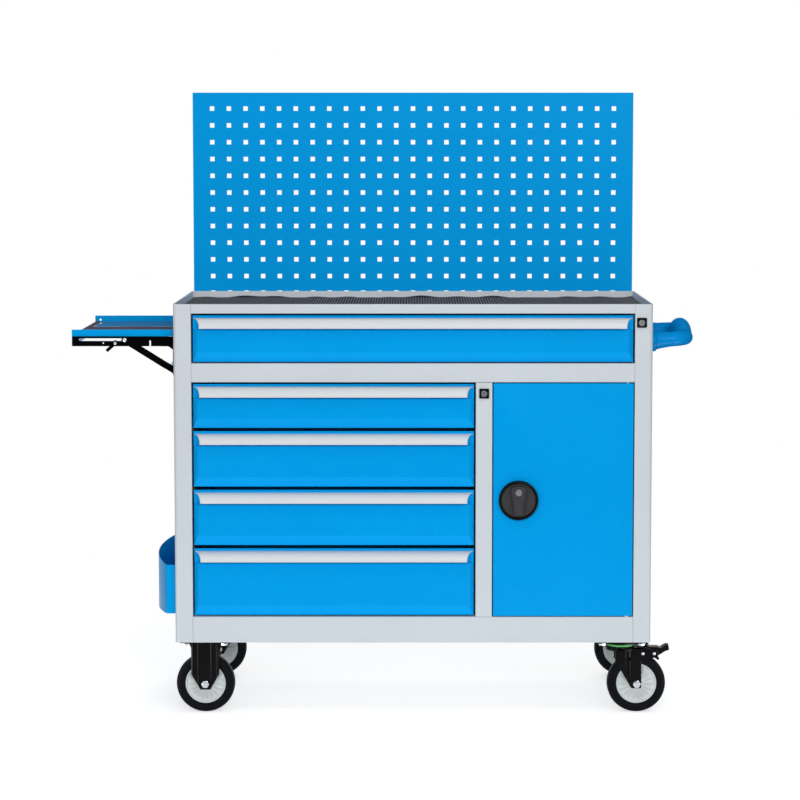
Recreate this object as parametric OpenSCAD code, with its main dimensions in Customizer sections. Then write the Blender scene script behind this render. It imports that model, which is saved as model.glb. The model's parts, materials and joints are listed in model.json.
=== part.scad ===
// Tool cart: a sheet-metal cabinet on four casters, with five drawers, a cupboard,
// a pegboard, a folding side shelf, a side bin and a push handle.
// Millimetres, +Z up. The origin is on the floor under the middle of the cabinet, and
// the drawers open towards -Y.

/* [Cabinet] */
// Outside width of the cabinet
cab_w = 1010; // [960:5:1100]
// Outside depth of the cabinet
cab_d = 500; // [480:5:560]
// Thickness of the folded sheet
sheet = 1.5; // [1:0.1:2]
// Thickness of the base pan that takes the casters
base_t = 2; // [1.5:0.1:3]
// Outside radius of the folded front corners
corner_r = 8.5; // [4:0.5:9]
// Width of the corner posts
post_w = 37.5; // [32:0.5:45]
// Depth of the folded returns behind the front
return_d = 30; // [26:1:36]
// Width of the post between drawers and cupboard
mid_post_w = 35; // [30:1:45]
// Height of the rail over the wide drawer
top_rail_h = 20; // [17:1:26]
// Height of the rail under the wide drawer
mid_rail_h = 40; // [30:1:55]
// Height of the bottom rail
bottom_rail_h = 55; // [45:1:70]
// Thickness of the mat on the worktop
mat_t = 3; // [2:0.5:5]
// Gap between a mat and the rim around it
mat_gap = 2; // [1:0.5:4]
// Height of the cupboard shelf above the base pan
shelf_rise = 270; // [180:5:400]

/* [Drawers] */
// Height of the wide drawer's opening
wide_h = 105; // [95:1:130]
// Height of the first narrow drawer
drawer_1_h = 100; // [90:1:130]
// Height of the second narrow drawer
drawer_2_h = 125; // [95:1:150]
// Height of the third narrow drawer
drawer_3_h = 125; // [95:1:150]
// Height of the fourth narrow drawer
drawer_4_h = 150; // [100:1:180]
// Length of a drawer box behind its front
box_d = 430; // [380:5:440]
// Gap beside a drawer front
front_gap = 3; // [1.5:0.5:4]
// Gap above and below a drawer front
split_gap = 3; // [1:0.5:3]
// Depth that a drawer front's edges fall back
front_relief = 9; // [6:0.5:12]
// Width of a drawer front's side bevels
side_bevel = 10; // [6:1:14]
// Height of a drawer front's bottom bevel
bottom_bevel = 21; // [14:1:26]
// Outside radius of a pull
pull_r = 19.5; // [17:0.5:24]
// Flat top of a pull behind its curve
pull_flat = 4; // [0:0.5:6]
// Thickness of a pull
pull_t = 2; // [1.5:0.5:3]
// How far a pull's front edge is cut in at each end
pull_cut = 13; // [4:1:14]
// Strip of drawer front above a pull
pull_drop = 6.5; // [4:0.5:9]
// Room for a slide beside a drawer box
slide_gap = 13; // [11:0.5:16]
// Height of a slide's fixed channel
slide_h = 36; // [30:1:40]
// Running gap of a slide
slide_play = 0.3; // [0.2:0.05:0.5]

/* [Cupboard] */
// Width of the cupboard opening
door_open_w = 300; // [270:5:330]
// Gap around the door
door_gap = 2; // [1.5:0.5:3]
// Depth of the door pan
door_d = 20; // [17:0.5:22]
// Distance from the door's right edge to its pivot
pivot_in = 12; // [11:0.5:13]
// Distance from the door's face to its pivot
pivot_back = 6; // [5.5:0.5:7]
// Radius of a door pivot pin
pivot_r = 3; // [2:0.25:3.5]
// Radius of the knob's rim
knob_r = 42.5; // [36:0.5:48]
// Projection of the knob's rim
knob_h = 12; // [9:1:16]
// Distance from the door's left edge to the knob
knob_in = 53.5; // [49:0.5:62]
// Radius of the knob's spindle
spindle_r = 6; // [5:0.5:8]
// Length of the latch cam from the spindle
cam_len = 72; // [66:1:78]
// Side of a lock's square rim
lock_side = 21; // [18:0.5:24]
// Radius of a lock's barrel
lock_r = 9; // [8:0.5:9.5]
// Radius of a lock's turning plug
plug_r = 6.5; // [5:0.5:7]

/* [Pegboard] */
// How far the pegboard is set in from each side of the cabinet
peg_side = 5; // [0:1:15]
// Columns of holes
peg_cols = 25; // [20:1:25]
// Rows of holes
peg_rows = 12; // [8:1:14]
// Distance between holes
peg_pitch = 38; // [30:1:39]
// Side of a square hole
peg_hole = 10; // [8:0.5:12]
// Margin above the top row and below the bottom row
peg_margin = 36; // [30:1:45]
// How far the pegboard reaches down behind the cabinet
peg_lap = 39.5; // [38:0.5:60]
// Depth of the pegboard's folded edges
peg_edge = 15; // [10:1:20]

/* [Side shelf] */
// Reach of the shelf tray from its hinge
tray_reach = 201; // [190:1:220]
// Depth of the shelf tray from front to back
tray_d = 430; // [390:5:440]
// Height of the tray's floor under the worktop rim
tray_drop = 70; // [60:1:90]
// Height of the tray's front rim
tray_rim = 14; // [10:1:20]
// Height of the tray's back rim
tray_back = 16.5; // [14:0.5:20]
// Thickness of the tray's mat
tray_mat_t = 2; // [1:0.5:3]
// Height of a folding arm
arm_h = 21; // [18:0.5:22]
// Thickness of bracket plates
bracket_t = 3; // [2:0.5:4]
// Gap between bracket plates that turn past each other
bracket_gap = 0.4; // [0.3:0.1:0.8]
// Distance from the wall to the shelf hinge
hinge_out = 16; // [15:0.5:19]
// Distance from the tray's floor down to the hinge and the arm's slot
hinge_drop = 7; // [6.5:0.5:8]
// Distance from the hinge to the strut's upper pin, along the arm
strut_out = 88; // [80:1:95]
// Distance from the hinge down to the strut's lower pivot
strut_down = 55; // [48:1:60]
// Width of a strut
strut_w = 14; // [12:1:16]
// Radius of a bracket pivot
rivet_r = 4; // [3:0.5:5]

/* [Bin and handle] */
// Length of the side bin
bin_l = 240; // [200:5:280]
// Width of the bin at its ends
bin_end_w = 20; // [14:1:28]
// Width of the bin at its middle
bin_mid_w = 46; // [36:1:60]
// Height of the bin at its front end
bin_h = 105; // [80:1:140]
// Rise of the bin's rim from front to back
bin_rise = 31; // [0:1:50]
// Height of the bin's floor above the cabinet's lower edge
bin_up = 59; // [40:1:120]
// Distance from the cabinet's front to the bin
bin_in = 20; // [10:1:60]
// Radius of the push handle's bar
grip_r = 16; // [12:0.5:18]
// Reach of the push handle
grip_reach = 97; // [80:1:105]
// Rise of the push handle's bends over its feet
grip_rise = 5; // [0:1:12]
// Bow of the push handle's bar over its bends
grip_bow = 18; // [10:1:24]
// Distance between the push handle's feet
grip_span = 290; // [270:5:310]
// Height of the push handle's feet under the worktop rim
grip_drop = 84; // [60:1:100]
// Radius of the push handle's feet
foot_r = 24; // [22:0.5:28]
// Bend radius of the push handle
grip_bend = 35; // [30:1:40]

/* [Casters] */
// Height of a caster
caster_h = 157; // [150:1:170]
// Radius of a wheel
wheel_r = 62.5; // [58:0.5:64]
// Width of a tyre
tyre_w = 34; // [28:1:36]
// Radius of a wheel centre
hub_r = 43; // [40:0.5:50]
// Radius of an axle
axle_r = 6; // [5:0.5:7]
// Room between the legs of a fork
fork_gap = 40; // [38.5:0.5:42]
// Thickness of a fork leg
leg_t = 3; // [2.5:0.5:4]
// Offset of a swivel wheel behind its kingpin
trail = 33; // [28:1:36]
// Radius of a kingpin
kingpin_r = 6; // [5:0.5:7]
// Length of a caster plate
plate_l = 105; // [100:1:110]
// Width of a caster plate
plate_w = 80; // [76:1:84]
// Thickness of a caster plate
plate_t = 4; // [3:0.5:5]
// Distance from the cabinet's left edge to the fixed casters
fixed_in = 61; // [56:1:80]
// Distance from the cabinet's right edge to the kingpins
kingpin_in = 60; // [56:1:80]
// Distance from the cabinet's front or back to the caster centres
caster_in = 48; // [44:1:60]

/* [Fasteners] */
// Radius of a bolt's shank
bolt_r = 4; // [3:0.5:4.5]
// Radius of a bolt's head across its corners
head_r = 7.5; // [6.5:0.5:8.5]
// Height of a bolt's head
head_h = 5; // [4:0.5:5]
// Clearance around a bolt in its hole
bolt_play = 0.3; // [0.1:0.1:0.5]
// Radial clearance of a turning shaft
shaft_play = 0.05; // [0.02:0.01:0.1]

/* [Hidden] */
$fn = 64;
eps = 1;

// Main planes of the cabinet
x_out = cab_w / 2;
x_open = x_out - post_w;
x_door = x_open - door_open_w;
x_post = x_door - mid_post_w;
y_front = -cab_d / 2;
y_back = cab_d / 2;
y_rear = y_back - sheet;
y_return = y_front + return_d;
z_base = caster_h;
z_floor = z_base + base_t;
z_low = z_base + bottom_rail_h;
low_h = drawer_1_h + drawer_2_h + drawer_3_h + drawer_4_h;
z_mid = z_low + low_h;
z_wide = z_mid + mid_rail_h;
z_rail = z_wide + wide_h;
z_top = z_rail + top_rail_h;
z_tray = z_rail + sheet;
pan_r = corner_r - sheet;
shelf_lip = 15;

// Drawers: opening edges, lower edge and height of each
drawers = [
    [-x_open, x_open, z_wide, wide_h],
    [-x_open, x_post, z_mid - drawer_1_h, drawer_1_h],
    [-x_open, x_post, z_low + drawer_4_h + drawer_3_h, drawer_2_h],
    [-x_open, x_post, z_low + drawer_4_h, drawer_3_h],
    [-x_open, x_post, z_low, drawer_4_h]
];
y_band = y_front + front_relief;
y_box = y_band + sheet;
band_h = pull_drop + pull_r + 3;
box_up = 6;
runner_up = 12;
slide_len = box_d;
slide_w = slide_gap - 2;
pocket_in = 10;
vent = [40, 4];

// Door, knob and locks
door_x0 = x_door + door_gap;
door_x1 = x_open - door_gap;
door_z0 = z_low + door_gap;
door_z1 = z_mid - door_gap;
pivot_x = door_x1 - pivot_in;
pivot_y = y_front + pivot_back;
knob_x = door_x0 + knob_in;
knob_z = (z_low + z_mid) / 2;
rotor_r = knob_r - 6;
rotor_t = 4;
rim_floor = 2;
grip_top_w = 32;
grip_low_w = 17;
grip_len = 31;
grip_t = 12;
key_up = 18;
key_r = 7;
key_t = 2;
key_depth = 8;
cam_t = 3;
cam_w = 18;
cam_y = y_return + 0.5;
spindle_end = 6;
lock_rim = 4;
lock_depth = 22;
lock_cam = [4, 10, 2];
lock_shift = 5;
upper_lock_drop = 39;
lower_lock_drop = 23.5;
locks = [
    [x_out - post_w / 2 - lock_shift, z_top - upper_lock_drop],
    [x_post + mid_post_w / 2, z_mid - lower_lock_drop]
];

// Pegboard
peg_w = cab_w - 2 * peg_side;
peg_h = 2 * peg_margin + (peg_rows - 1) * peg_pitch;
peg_z0 = z_top - peg_lap;
peg_bolt_z = peg_z0 + 12;
peg_bolts = [for (i = [-2 : 2]) i * peg_w / 5];

// Side shelf: hinge, strut pivots and the planes of the bracket plates
hinge_x = -x_out - hinge_out;
tray_z = z_top - tray_drop;
arm_z0 = tray_z - arm_h;
hinge_z = tray_z - hinge_drop;
tray_x0 = hinge_x - tray_reach;
tray_x1 = -x_out - bracket_t - 0.2;
arm_flange = 22;
arm_end = hinge_drop;
arm_heel = 9;
arm_notch = [35, 3.5, 12];
strut_z = hinge_z - strut_down;
strut_len = norm([strut_out, strut_down]);
strut_tilt = atan2(strut_down, strut_out);
slot_h = 5.5;
slot_end = tray_reach - 18;
arm_y = -tray_d / 2 - bracket_t - 0.2;
web_y = arm_y - bracket_t - bracket_gap;
strut_y = web_y - bracket_t - bracket_gap;
lever_y = arm_y + bracket_t + bracket_gap;
lever_out = strut_out + 21;
lever_z = hinge_z - 7.5;
lever_len = 25;
lever_w = 12;
lever_bar = 7;
lever_tilt = 42;
lever_rivet_r = 3;
rivet_head = 2.5;
rivet_cap = 2;
bracket_w = 27;
bracket_foot = 20;
ear_out = 10.5;
ear_drop = 9;
bracket_bolt_drop = 5;
tray_hole = [12, 7, 2.5];

// Bin and handle
bin_y0 = y_front + bin_in;
bin_z0 = z_base + bin_up;
bin_bow = bin_mid_w - bin_end_w;
bin_round = (bin_l * bin_l / 4 + bin_bow * bin_bow) / (2 * bin_bow);
bin_bolts = [0.3, 0.7];
grip_z = z_top - grip_drop;
grip_arm = norm([grip_reach - grip_r, grip_rise]);
grip_tilt = atan2(grip_rise, grip_reach - grip_r);
foot_t = 14;
flank_r = 100;
bead = 0.5;
cone_r = foot_r - 4;
bolt_sink = 14;

// Casters
fixed_x = -x_out + fixed_in;
king_x = x_out - kingpin_in;
caster_ys = [y_front + caster_in, y_back - caster_in];
plate_z = z_base - plate_t;
plate_bolt = [plate_l / 2 - 10.5, plate_w / 2 - 10];
leg_y = fork_gap / 2 + leg_t;
race_t = 5;
seal_t = 5;
seal_r = 30;
seal_gap = 0.3;
crown_t = 5;
seal_z = plate_z - race_t - seal_t;
crown_z1 = seal_z - seal_gap;
crown_z0 = crown_z1 - crown_t;
crown_r = 33;
crown_reach = trail + 15;
pedal_out = 37;
pedal_low = 9.5;
pedal_x = trail + pedal_out;
pedal_z = crown_z0 - pedal_low;
pedal_w = 28;
pedal_ear = 8;
leg_top_w = 30;
leg_tip_w = 11;
leg_rise = 25;
leg_below = 9;
leg_end = 12;
leg_back = 13;
leg_skirt = 30;
leg_slant = [-33, 29];
pedal_pin_r = 3;
axle_head = 6;
axle_head_r = 9;
hub_w = tyre_w - 4;
boss_w = fork_gap - 0.6;

// A block between two corners
module block(a, b) {
    translate(a) cube(b - a);
}

// A round bar along X, Y or Z between two coordinates
module bar_x(y, z, x0, x1, r) {
    translate([x0, y, z]) rotate([0, 90, 0]) cylinder(r = r, h = x1 - x0);
}

module bar_y(x, z, y0, y1, r) {
    translate([x, y0, z]) rotate([-90, 0, 0]) cylinder(r = r, h = y1 - y0);
}

module bar_z(x, y, z0, z1, r) {
    translate([x, y, z0]) cylinder(r = r, h = z1 - z0);
}

// A plate across Y whose outline is drawn in X and Z
module plate_xz(y0, y1) {
    translate([0, y1, 0]) rotate([90, 0, 0]) linear_extrude(y1 - y0) children();
}

// A bar along X whose outline is drawn in Y and Z
module bar_yz(x0, x1) {
    translate([x0, 0, 0]) rotate([90, 0, 90]) linear_extrude(x1 - x0) children();
}

// A rounded rectangle about the origin
module round_rect(w, d, r) {
    square([w - 2 * r, d], center = true);
    square([w, d - 2 * r], center = true);
    for (x = [-1, 1], y = [-1, 1]) translate([x * (w / 2 - r), y * (d / 2 - r)]) circle(r = r);
}

// A straight slot from one end's centre to the other's
module slot_2d(a, b, w) {
    span = b - a;
    for (p = [a, b]) translate(p) circle(d = w);
    translate(a) rotate(atan2(span[1], span[0])) translate([0, -w / 2]) square([norm(span), w]);
}

module mirror_copy_y() {
    children();
    mirror([0, 1, 0]) children();
}

// Bolt that points down from its head's seat, with its nut under the grip
module hex_bolt(grip) {
    cylinder(r = head_r, h = head_h, $fn = 6);
    translate([0, 0, -grip]) cylinder(r = bolt_r, h = grip);
    translate([0, 0, -grip - head_h]) cylinder(r = head_r, h = head_h, $fn = 6);
}

// Screw that points down from its head's seat
module hex_screw(length) {
    cylinder(r = head_r, h = head_h, $fn = 6);
    translate([0, 0, -length]) cylinder(r = bolt_r, h = length);
}

// Places of the fasteners
module at_plate_bolts(x) {
    for (y = caster_ys, i = [-1, 1], j = [-1, 1])
        translate([x + i * plate_bolt[0], y + j * plate_bolt[1], 0]) children();
}

module at_peg_bolts() {
    for (x = peg_bolts) translate([x, y_back, peg_bolt_z]) rotate([-90, 0, 0]) children();
}

module at_handle_screws() {
    for (y = [-1, 1]) translate([x_out, y * grip_span / 2, grip_z]) rotate([0, -90, 0]) children();
}

module at_bin_bolts() {
    for (k = bin_bolts)
        translate([-x_out, bin_y0 + k * bin_l, bin_z0 + bin_h / 2]) rotate([0, -90, 0]) children();
}

module at_bracket_bolts() {
    mirror_copy_y()
        for (z = [hinge_z - bracket_bolt_drop, strut_z])
            translate([-x_out, web_y + bracket_w - head_r - 2, z]) rotate([0, -90, 0]) children();
}

module bolt_hole(depth) {
    translate([0, 0, -depth]) cylinder(r = bolt_r + bolt_play, h = 2 * depth);
}

// Cabinet sheets
module side_shell() {
    block([-x_out, y_front + corner_r, z_base], [-x_out + sheet, y_rear, z_top]);
    block([-x_out + corner_r, y_front, z_base], [-x_open, y_front + sheet, z_top]);
    translate([-x_out + corner_r, y_front + corner_r, z_base])
        intersection() {
            difference() {
                cylinder(r = corner_r, h = z_top - z_base);
                translate([0, 0, -eps]) cylinder(r = pan_r, h = z_top - z_base + 2 * eps);
            }
            translate([-corner_r, -corner_r, 0]) cube([corner_r, corner_r, z_top - z_base]);
        }
    block([-x_open - sheet, y_front, z_floor], [-x_open, y_return, z_tray]);
    block([-x_out, y_rear - sheet, z_floor], [-x_out + return_d, y_rear, z_tray]);
}

module left_side_panel() {
    color("gainsboro")
    difference() {
        side_shell();
        at_bin_bolts() bolt_hole(2 * sheet);
        at_bracket_bolts() bolt_hole(2 * sheet);
    }
}

module right_side_panel() {
    color("gainsboro")
    difference() {
        mirror([1, 0, 0]) side_shell();
        at_handle_screws() bolt_hole(2 * sheet);
        lock_hole(locks[0]);
    }
}

module side_liners() {
    color("gainsboro")
    for (s = [0, 1])
        mirror([s, 0, 0]) block([-x_open - sheet, y_return, z_floor], [-x_open, y_rear, z_tray]);
}

module back_panel() {
    color("gainsboro")
    difference() {
        block([-x_out, y_rear, z_base], [x_out, y_back, z_top]);
        at_peg_bolts() bolt_hole(2 * sheet);
    }
}

module pan_plan(inset) {
    round_rect(cab_w - 2 * sheet - 2 * inset, 2 * y_rear - 2 * inset, pan_r - min(inset, pan_r / 2));
}

module base_pan() {
    color("gainsboro")
    difference() {
        translate([0, 0, z_base]) linear_extrude(base_t) pan_plan(0);
        for (x = [fixed_x, king_x]) at_plate_bolts(x) translate([0, 0, z_base]) bolt_hole(2 * base_t);
    }
}

module top_tray() {
    color("gainsboro")
    difference() {
        translate([0, 0, z_tray]) linear_extrude(z_top - z_tray) pan_plan(0);
        translate([0, 0, z_tray + sheet]) linear_extrude(z_top - z_tray) pan_plan(sheet);
    }
}

module top_mat() {
    color("dimgray")
    translate([0, 0, z_tray + sheet]) linear_extrude(mat_t) pan_plan(sheet + mat_gap);
}

// Rail across the front with a folded flange along one or both edges
module rail(z0, z1, low_flange, high_flange) {
    block([-x_open, y_front, z0], [x_open, y_front + sheet, z1]);
    if (low_flange) block([-x_open, y_front, z0], [x_open, y_return, z0 + sheet]);
    if (high_flange) block([-x_open, y_front, z1 - sheet], [x_open, y_return, z1]);
}

module front_rails() {
    color("gainsboro")
    difference() {
        union() {
            rail(z_rail, z_top, true, false);
            rail(z_mid, z_wide, true, true);
            rail(z_base, z_low, false, true);
        }
        translate([-x_open - eps, y_front + sheet, z_base - eps])
            cube([2 * x_open + 2 * eps, return_d, base_t + eps]);
        bar_z(pivot_x, pivot_y, z_low - 2 * sheet, z_low + sheet, pivot_r + shaft_play);
        bar_z(pivot_x, pivot_y, z_mid - sheet, z_mid + 2 * sheet, pivot_r + shaft_play);
    }
}

module centre_post() {
    color("gainsboro")
    difference() {
        union() {
            block([x_post, y_front, z_low], [x_door, y_front + sheet, z_mid]);
            block([x_post, y_front, z_low], [x_post + sheet, y_return, z_mid]);
            block([x_door - sheet, y_front, z_low], [x_door, y_return, z_mid]);
        }
        lock_hole(locks[1]);
    }
}

module centre_partition() {
    color("gainsboro")
    block([x_post, y_return, z_floor], [x_post + sheet, y_rear, z_wide - sheet]);
}

module divider_deck() {
    color("gainsboro")
    block([-x_open, y_return, z_wide - sheet], [x_open, y_rear, z_wide]);
}

module cupboard_shelf() {
    z = z_floor + shelf_rise;
    y0 = y_return + shelf_lip;
    color("gainsboro") {
        block([x_post + sheet, y0, z], [x_open, y_rear, z + sheet]);
        block([x_post + sheet, y0, z - shelf_lip], [x_open, y0 + sheet, z]);
        block([x_post + sheet, y0, z - shelf_lip], [x_post + 2 * sheet, y_rear, z]);
        block([x_open - sheet, y0, z - shelf_lip], [x_open, y_rear, z]);
    }
}

// Pegboard with square holes and folded edges
module pegboard() {
    color("dodgerblue")
    difference() {
        block([-peg_w / 2, y_back, peg_z0], [peg_w / 2, y_back + peg_edge, peg_z0 + peg_h]);
        block([-peg_w / 2 + sheet, y_back + sheet, peg_z0 + sheet],
              [peg_w / 2 - sheet, y_back + peg_edge + eps, peg_z0 + peg_h - sheet]);
        plate_xz(y_back - eps, y_back + sheet + eps)
            for (i = [0 : peg_cols - 1], j = [0 : peg_rows - 1])
                translate([(i - (peg_cols - 1) / 2) * peg_pitch, peg_z0 + peg_margin + j * peg_pitch])
                    square(peg_hole, center = true);
        at_peg_bolts() bolt_hole(2 * sheet);
    }
}

module hex_bolts() {
    color("silver") {
        for (x = [fixed_x, king_x])
            at_plate_bolts(x) translate([0, 0, z_floor]) hex_bolt(base_t + plate_t);
        at_peg_bolts() translate([0, 0, sheet]) hex_bolt(2 * sheet);
        at_handle_screws() translate([0, 0, sheet]) hex_screw(sheet + bolt_sink);
        at_bin_bolts() translate([0, 0, sheet]) hex_bolt(2 * sheet);
        at_bracket_bolts() translate([0, 0, bracket_t]) hex_bolt(bracket_t + sheet);
    }
}

// Arc of the push handle's bar, in an upright plane
module bow_arc(y, z, r, start, turn) {
    translate([grip_arm, y, z]) rotate([90, 0, 90]) rotate([0, 0, start])
        rotate_extrude(angle = turn) translate([r, 0]) circle(r = grip_r);
}

// One piece push handle: two feet, tapered arms, bends and the bar, which bows up between them.
// A faint bead covers each place where two arcs of the bar meet
module push_handle() {
    x_bend = grip_arm - grip_bend;
    y_bend = grip_span / 2 - grip_bend;
    bow_turn = 2 * atan(grip_bow / y_bend);
    crest_r = y_bend / sin(bow_turn) - flank_r;
    color("dodgerblue")
    difference() {
        union() {
            translate([x_out, 0, grip_z]) rotate([0, -grip_tilt, 0]) {
                bow_arc(0, grip_bow - crest_r, crest_r, 90 - bow_turn, 2 * bow_turn);
                mirror_copy_y() {
                    bow_arc(y_bend, flank_r, flank_r, 270 - bow_turn, bow_turn);
                    for (at = [[y_bend, 0], [crest_r * sin(bow_turn), flank_r * (1 - cos(bow_turn))]])
                        translate([grip_arm, at[0], at[1]]) sphere(r = grip_r + bead);
                    translate([x_bend, y_bend, 0])
                        rotate_extrude(angle = 90) translate([grip_bend, 0]) circle(r = grip_r);
                    translate([foot_t / 2, grip_span / 2, 0]) rotate([0, 90, 0])
                        cylinder(r1 = cone_r, r2 = grip_r, h = x_bend - foot_t / 2);
                }
            }
            mirror_copy_y() bar_x(grip_span / 2, grip_z, x_out, x_out + foot_t, foot_r);
        }
        at_handle_screws() bolt_hole(bolt_sink);
    }
}

// Bow-fronted bin with a sloping rim
module bin_plan(inset) {
    intersection() {
        translate([bin_round - bin_mid_w, bin_l / 2]) circle(r = bin_round - inset, $fn = 128);
        translate([-bin_mid_w, inset]) square([bin_mid_w - inset, bin_l - 2 * inset]);
    }
}

module side_bin() {
    color("dodgerblue")
    translate([-x_out, bin_y0, bin_z0])
    difference() {
        linear_extrude(bin_h + bin_rise) bin_plan(0);
        translate([0, 0, sheet]) linear_extrude(bin_h + bin_rise) bin_plan(sheet);
        bar_yz(-bin_mid_w - eps, eps)
            polygon([[-eps, bin_h], [0, bin_h], [bin_l, bin_h + bin_rise],
                     [bin_l + eps, bin_h + bin_rise + eps], [-eps, bin_h + bin_rise + eps]]);
        translate([x_out, -bin_y0, -bin_z0]) at_bin_bolts() bolt_hole(2 * sheet);
    }
}

// Locks: a square rim with its barrel, and the plug that turns in it
module lock_hole(at) {
    bar_y(at[0], at[1], y_front - eps, y_front + sheet + eps, lock_r + bolt_play);
}

module lock_bodies() {
    color("black")
    for (at = locks)
        difference() {
            union() {
                block([at[0] - lock_side / 2, y_front - lock_rim, at[1] - lock_side / 2],
                      [at[0] + lock_side / 2, y_front, at[1] + lock_side / 2]);
                bar_y(at[0], at[1], y_front, y_front + lock_depth, lock_r);
            }
            bar_y(at[0], at[1], y_front - lock_rim - eps, y_front + lock_depth + eps, plug_r + shaft_play);
        }
}

module lock_plug(at) {
    y_cam = y_front + lock_depth + bracket_gap;
    color("silver") {
        difference() {
            bar_y(at[0], at[1], y_front - lock_rim + 0.5, y_cam + lock_cam[2], plug_r);
            block([at[0] - 0.8, y_front - lock_rim, at[1] - 3], [at[0] + 0.8, y_front, at[1] + 3]);
        }
        block([at[0] - lock_cam[0], y_cam, at[1] - lock_cam[1]],
              [at[0] + lock_cam[0], y_cam + lock_cam[2], at[1]]);
    }
}

module upper_lock_plug() { lock_plug(locks[0]); }

module lower_lock_plug() { lock_plug(locks[1]); }

// Fixed slide channels, open towards the drawer
module slide_channel(z) {
    y1 = y_return + slide_len;
    block([0, y_return, z], [sheet, y1, z + slide_h]);
    block([0, y_return, z], [slide_w, y1, z + sheet]);
    block([0, y_return, z + slide_h - sheet], [slide_w, y1, z + slide_h]);
}

function runner_z(d) = d[2] + split_gap + box_up + runner_up;

module cabinet_slides() {
    color("silver")
    for (d = drawers) {
        translate([d[0], 0, 0]) slide_channel(runner_z(d));
        translate([d[1], 0, 0]) mirror([1, 0, 0]) slide_channel(runner_z(d));
    }
}

// Runner on a drawer's side, inside the fixed channel
module runner(z) {
    z0 = z + sheet + slide_play;
    z1 = z + slide_h - sheet - slide_play;
    x0 = sheet + 1;
    block([slide_gap - sheet, y_box + sheet, z0], [slide_gap, y_box + box_d, z1]);
    block([x0, y_box + sheet, z0], [slide_gap, y_box + box_d, z0 + sheet]);
    block([x0, y_box + sheet, z1 - sheet], [slide_gap, y_box + box_d, z1]);
}

// Drawer: bevelled double front, box and runners, welded into one piece
module drawer(d) {
    x0 = d[0] + front_gap;
    x1 = d[1] - front_gap;
    z0 = d[2] + split_gap;
    z1 = d[2] + d[3] - split_gap;
    bx0 = d[0] + slide_gap;
    bx1 = d[1] - slide_gap;
    bz0 = z0 + box_up;
    bz1 = z1 - pull_drop - sheet;
    y1 = y_box + box_d;
    face_z0 = z0 + bottom_bevel;
    face_z1 = z1 - band_h;
    color("dodgerblue") {
        difference() {
            intersection() {
                translate([0, 0, z0]) linear_extrude(z1 - z0)
                    polygon([[x0, y_band], [x0 + side_bevel, y_front], [x1 - side_bevel, y_front],
                             [x1, y_band], [x1, y_box], [x0, y_box]]);
                bar_yz(x0, x1)
                    polygon([[y_band, z0], [y_front, face_z0], [y_front, face_z1], [y_band, face_z1],
                             [y_band, z1], [y_box, z1], [y_box, z0]]);
            }
            block([bx0 + pocket_in, y_front + sheet, face_z0],
                  [bx1 - pocket_in, y_box + eps, face_z1 - sheet]);
        }
        difference() {
            block([bx0, y_box, bz0], [bx1, y1, bz1]);
            block([bx0 + sheet, y_box + sheet, bz0 + sheet], [bx1 - sheet, y1 - sheet, bz1 + eps]);
            translate([(bx0 + bx1) / 2, y_box, face_z1 - 3 * sheet - vent[1] / 2])
                cube([vent[0], 4 * sheet, vent[1]], center = true);
        }
        translate([d[0], 0, 0]) runner(runner_z(d));
        translate([d[1], 0, 0]) mirror([1, 0, 0]) runner(runner_z(d));
    }
}

module wide_drawer() { drawer(drawers[0]); }

module drawer_1() { drawer(drawers[1]); }

module drawer_2() { drawer(drawers[2]); }

module drawer_3() { drawer(drawers[3]); }

module drawer_4() { drawer(drawers[4]); }

// Pull: a hood with a flat top and a quarter-round front, cut back at its ends
module pull(d) {
    x0 = d[0] + 2 * front_gap;
    x1 = d[1] - 2 * front_gap;
    zt = d[2] + d[3] - split_gap - pull_drop;
    y0 = y_band - pull_flat - pull_r;
    color("whitesmoke") {
        intersection() {
            bar_yz(x0, x1) {
                translate([y_band - pull_flat, zt - pull_r]) intersection() {
                    difference() {
                        circle(r = pull_r);
                        circle(r = pull_r - pull_t);
                    }
                    translate([-pull_r, 0]) square(pull_r);
                }
                translate([y_band - pull_flat - 0.1, zt - pull_t]) square([pull_flat + 0.1, pull_t]);
            }
            translate([0, 0, zt - 2 * pull_r]) linear_extrude(3 * pull_r)
                polygon([[x0, y_band], [x0 + pull_cut, y0], [x1 - pull_cut, y0], [x1, y_band]]);
        }
        block([x0 + pull_cut, y_band - pull_t, zt - pull_r / 2], [x1 - pull_cut, y_band, zt - pull_t / 2]);
    }
}

module wide_drawer_pull() { pull(drawers[0]); }

module drawer_1_pull() { pull(drawers[1]); }

module drawer_2_pull() { pull(drawers[2]); }

module drawer_3_pull() { pull(drawers[3]); }

module drawer_4_pull() { pull(drawers[4]); }

// Door: a pan that turns on two pins in the rails
module door_pivot_pins() {
    lap = 12;
    collar = pivot_back - sheet - 0.2;
    color("silver") {
        bar_z(pivot_x, pivot_y, z_low - 2 * sheet, z_low + lap, pivot_r);
        bar_z(pivot_x, pivot_y, z_low - 2 * sheet, z_low - sheet, collar);
        bar_z(pivot_x, pivot_y, z_low, door_z0 - 0.1, collar);
        bar_z(pivot_x, pivot_y, z_mid - lap, z_mid + 2 * sheet, pivot_r);
        bar_z(pivot_x, pivot_y, z_mid + sheet, z_mid + 2 * sheet, collar);
    }
}

module door_panel() {
    color("dodgerblue")
    difference() {
        block([door_x0, y_front, door_z0], [door_x1, y_front + door_d, door_z1]);
        block([door_x0 + sheet, y_front + sheet, door_z0 + sheet],
              [door_x1 - sheet, y_front + door_d + eps, door_z1 - sheet]);
        bar_z(pivot_x, pivot_y, door_z0 - eps, door_z1 + eps, pivot_r + shaft_play);
        bar_y(knob_x, knob_z, y_front - eps, y_front + 2 * sheet, spindle_r + shaft_play);
    }
}

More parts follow.
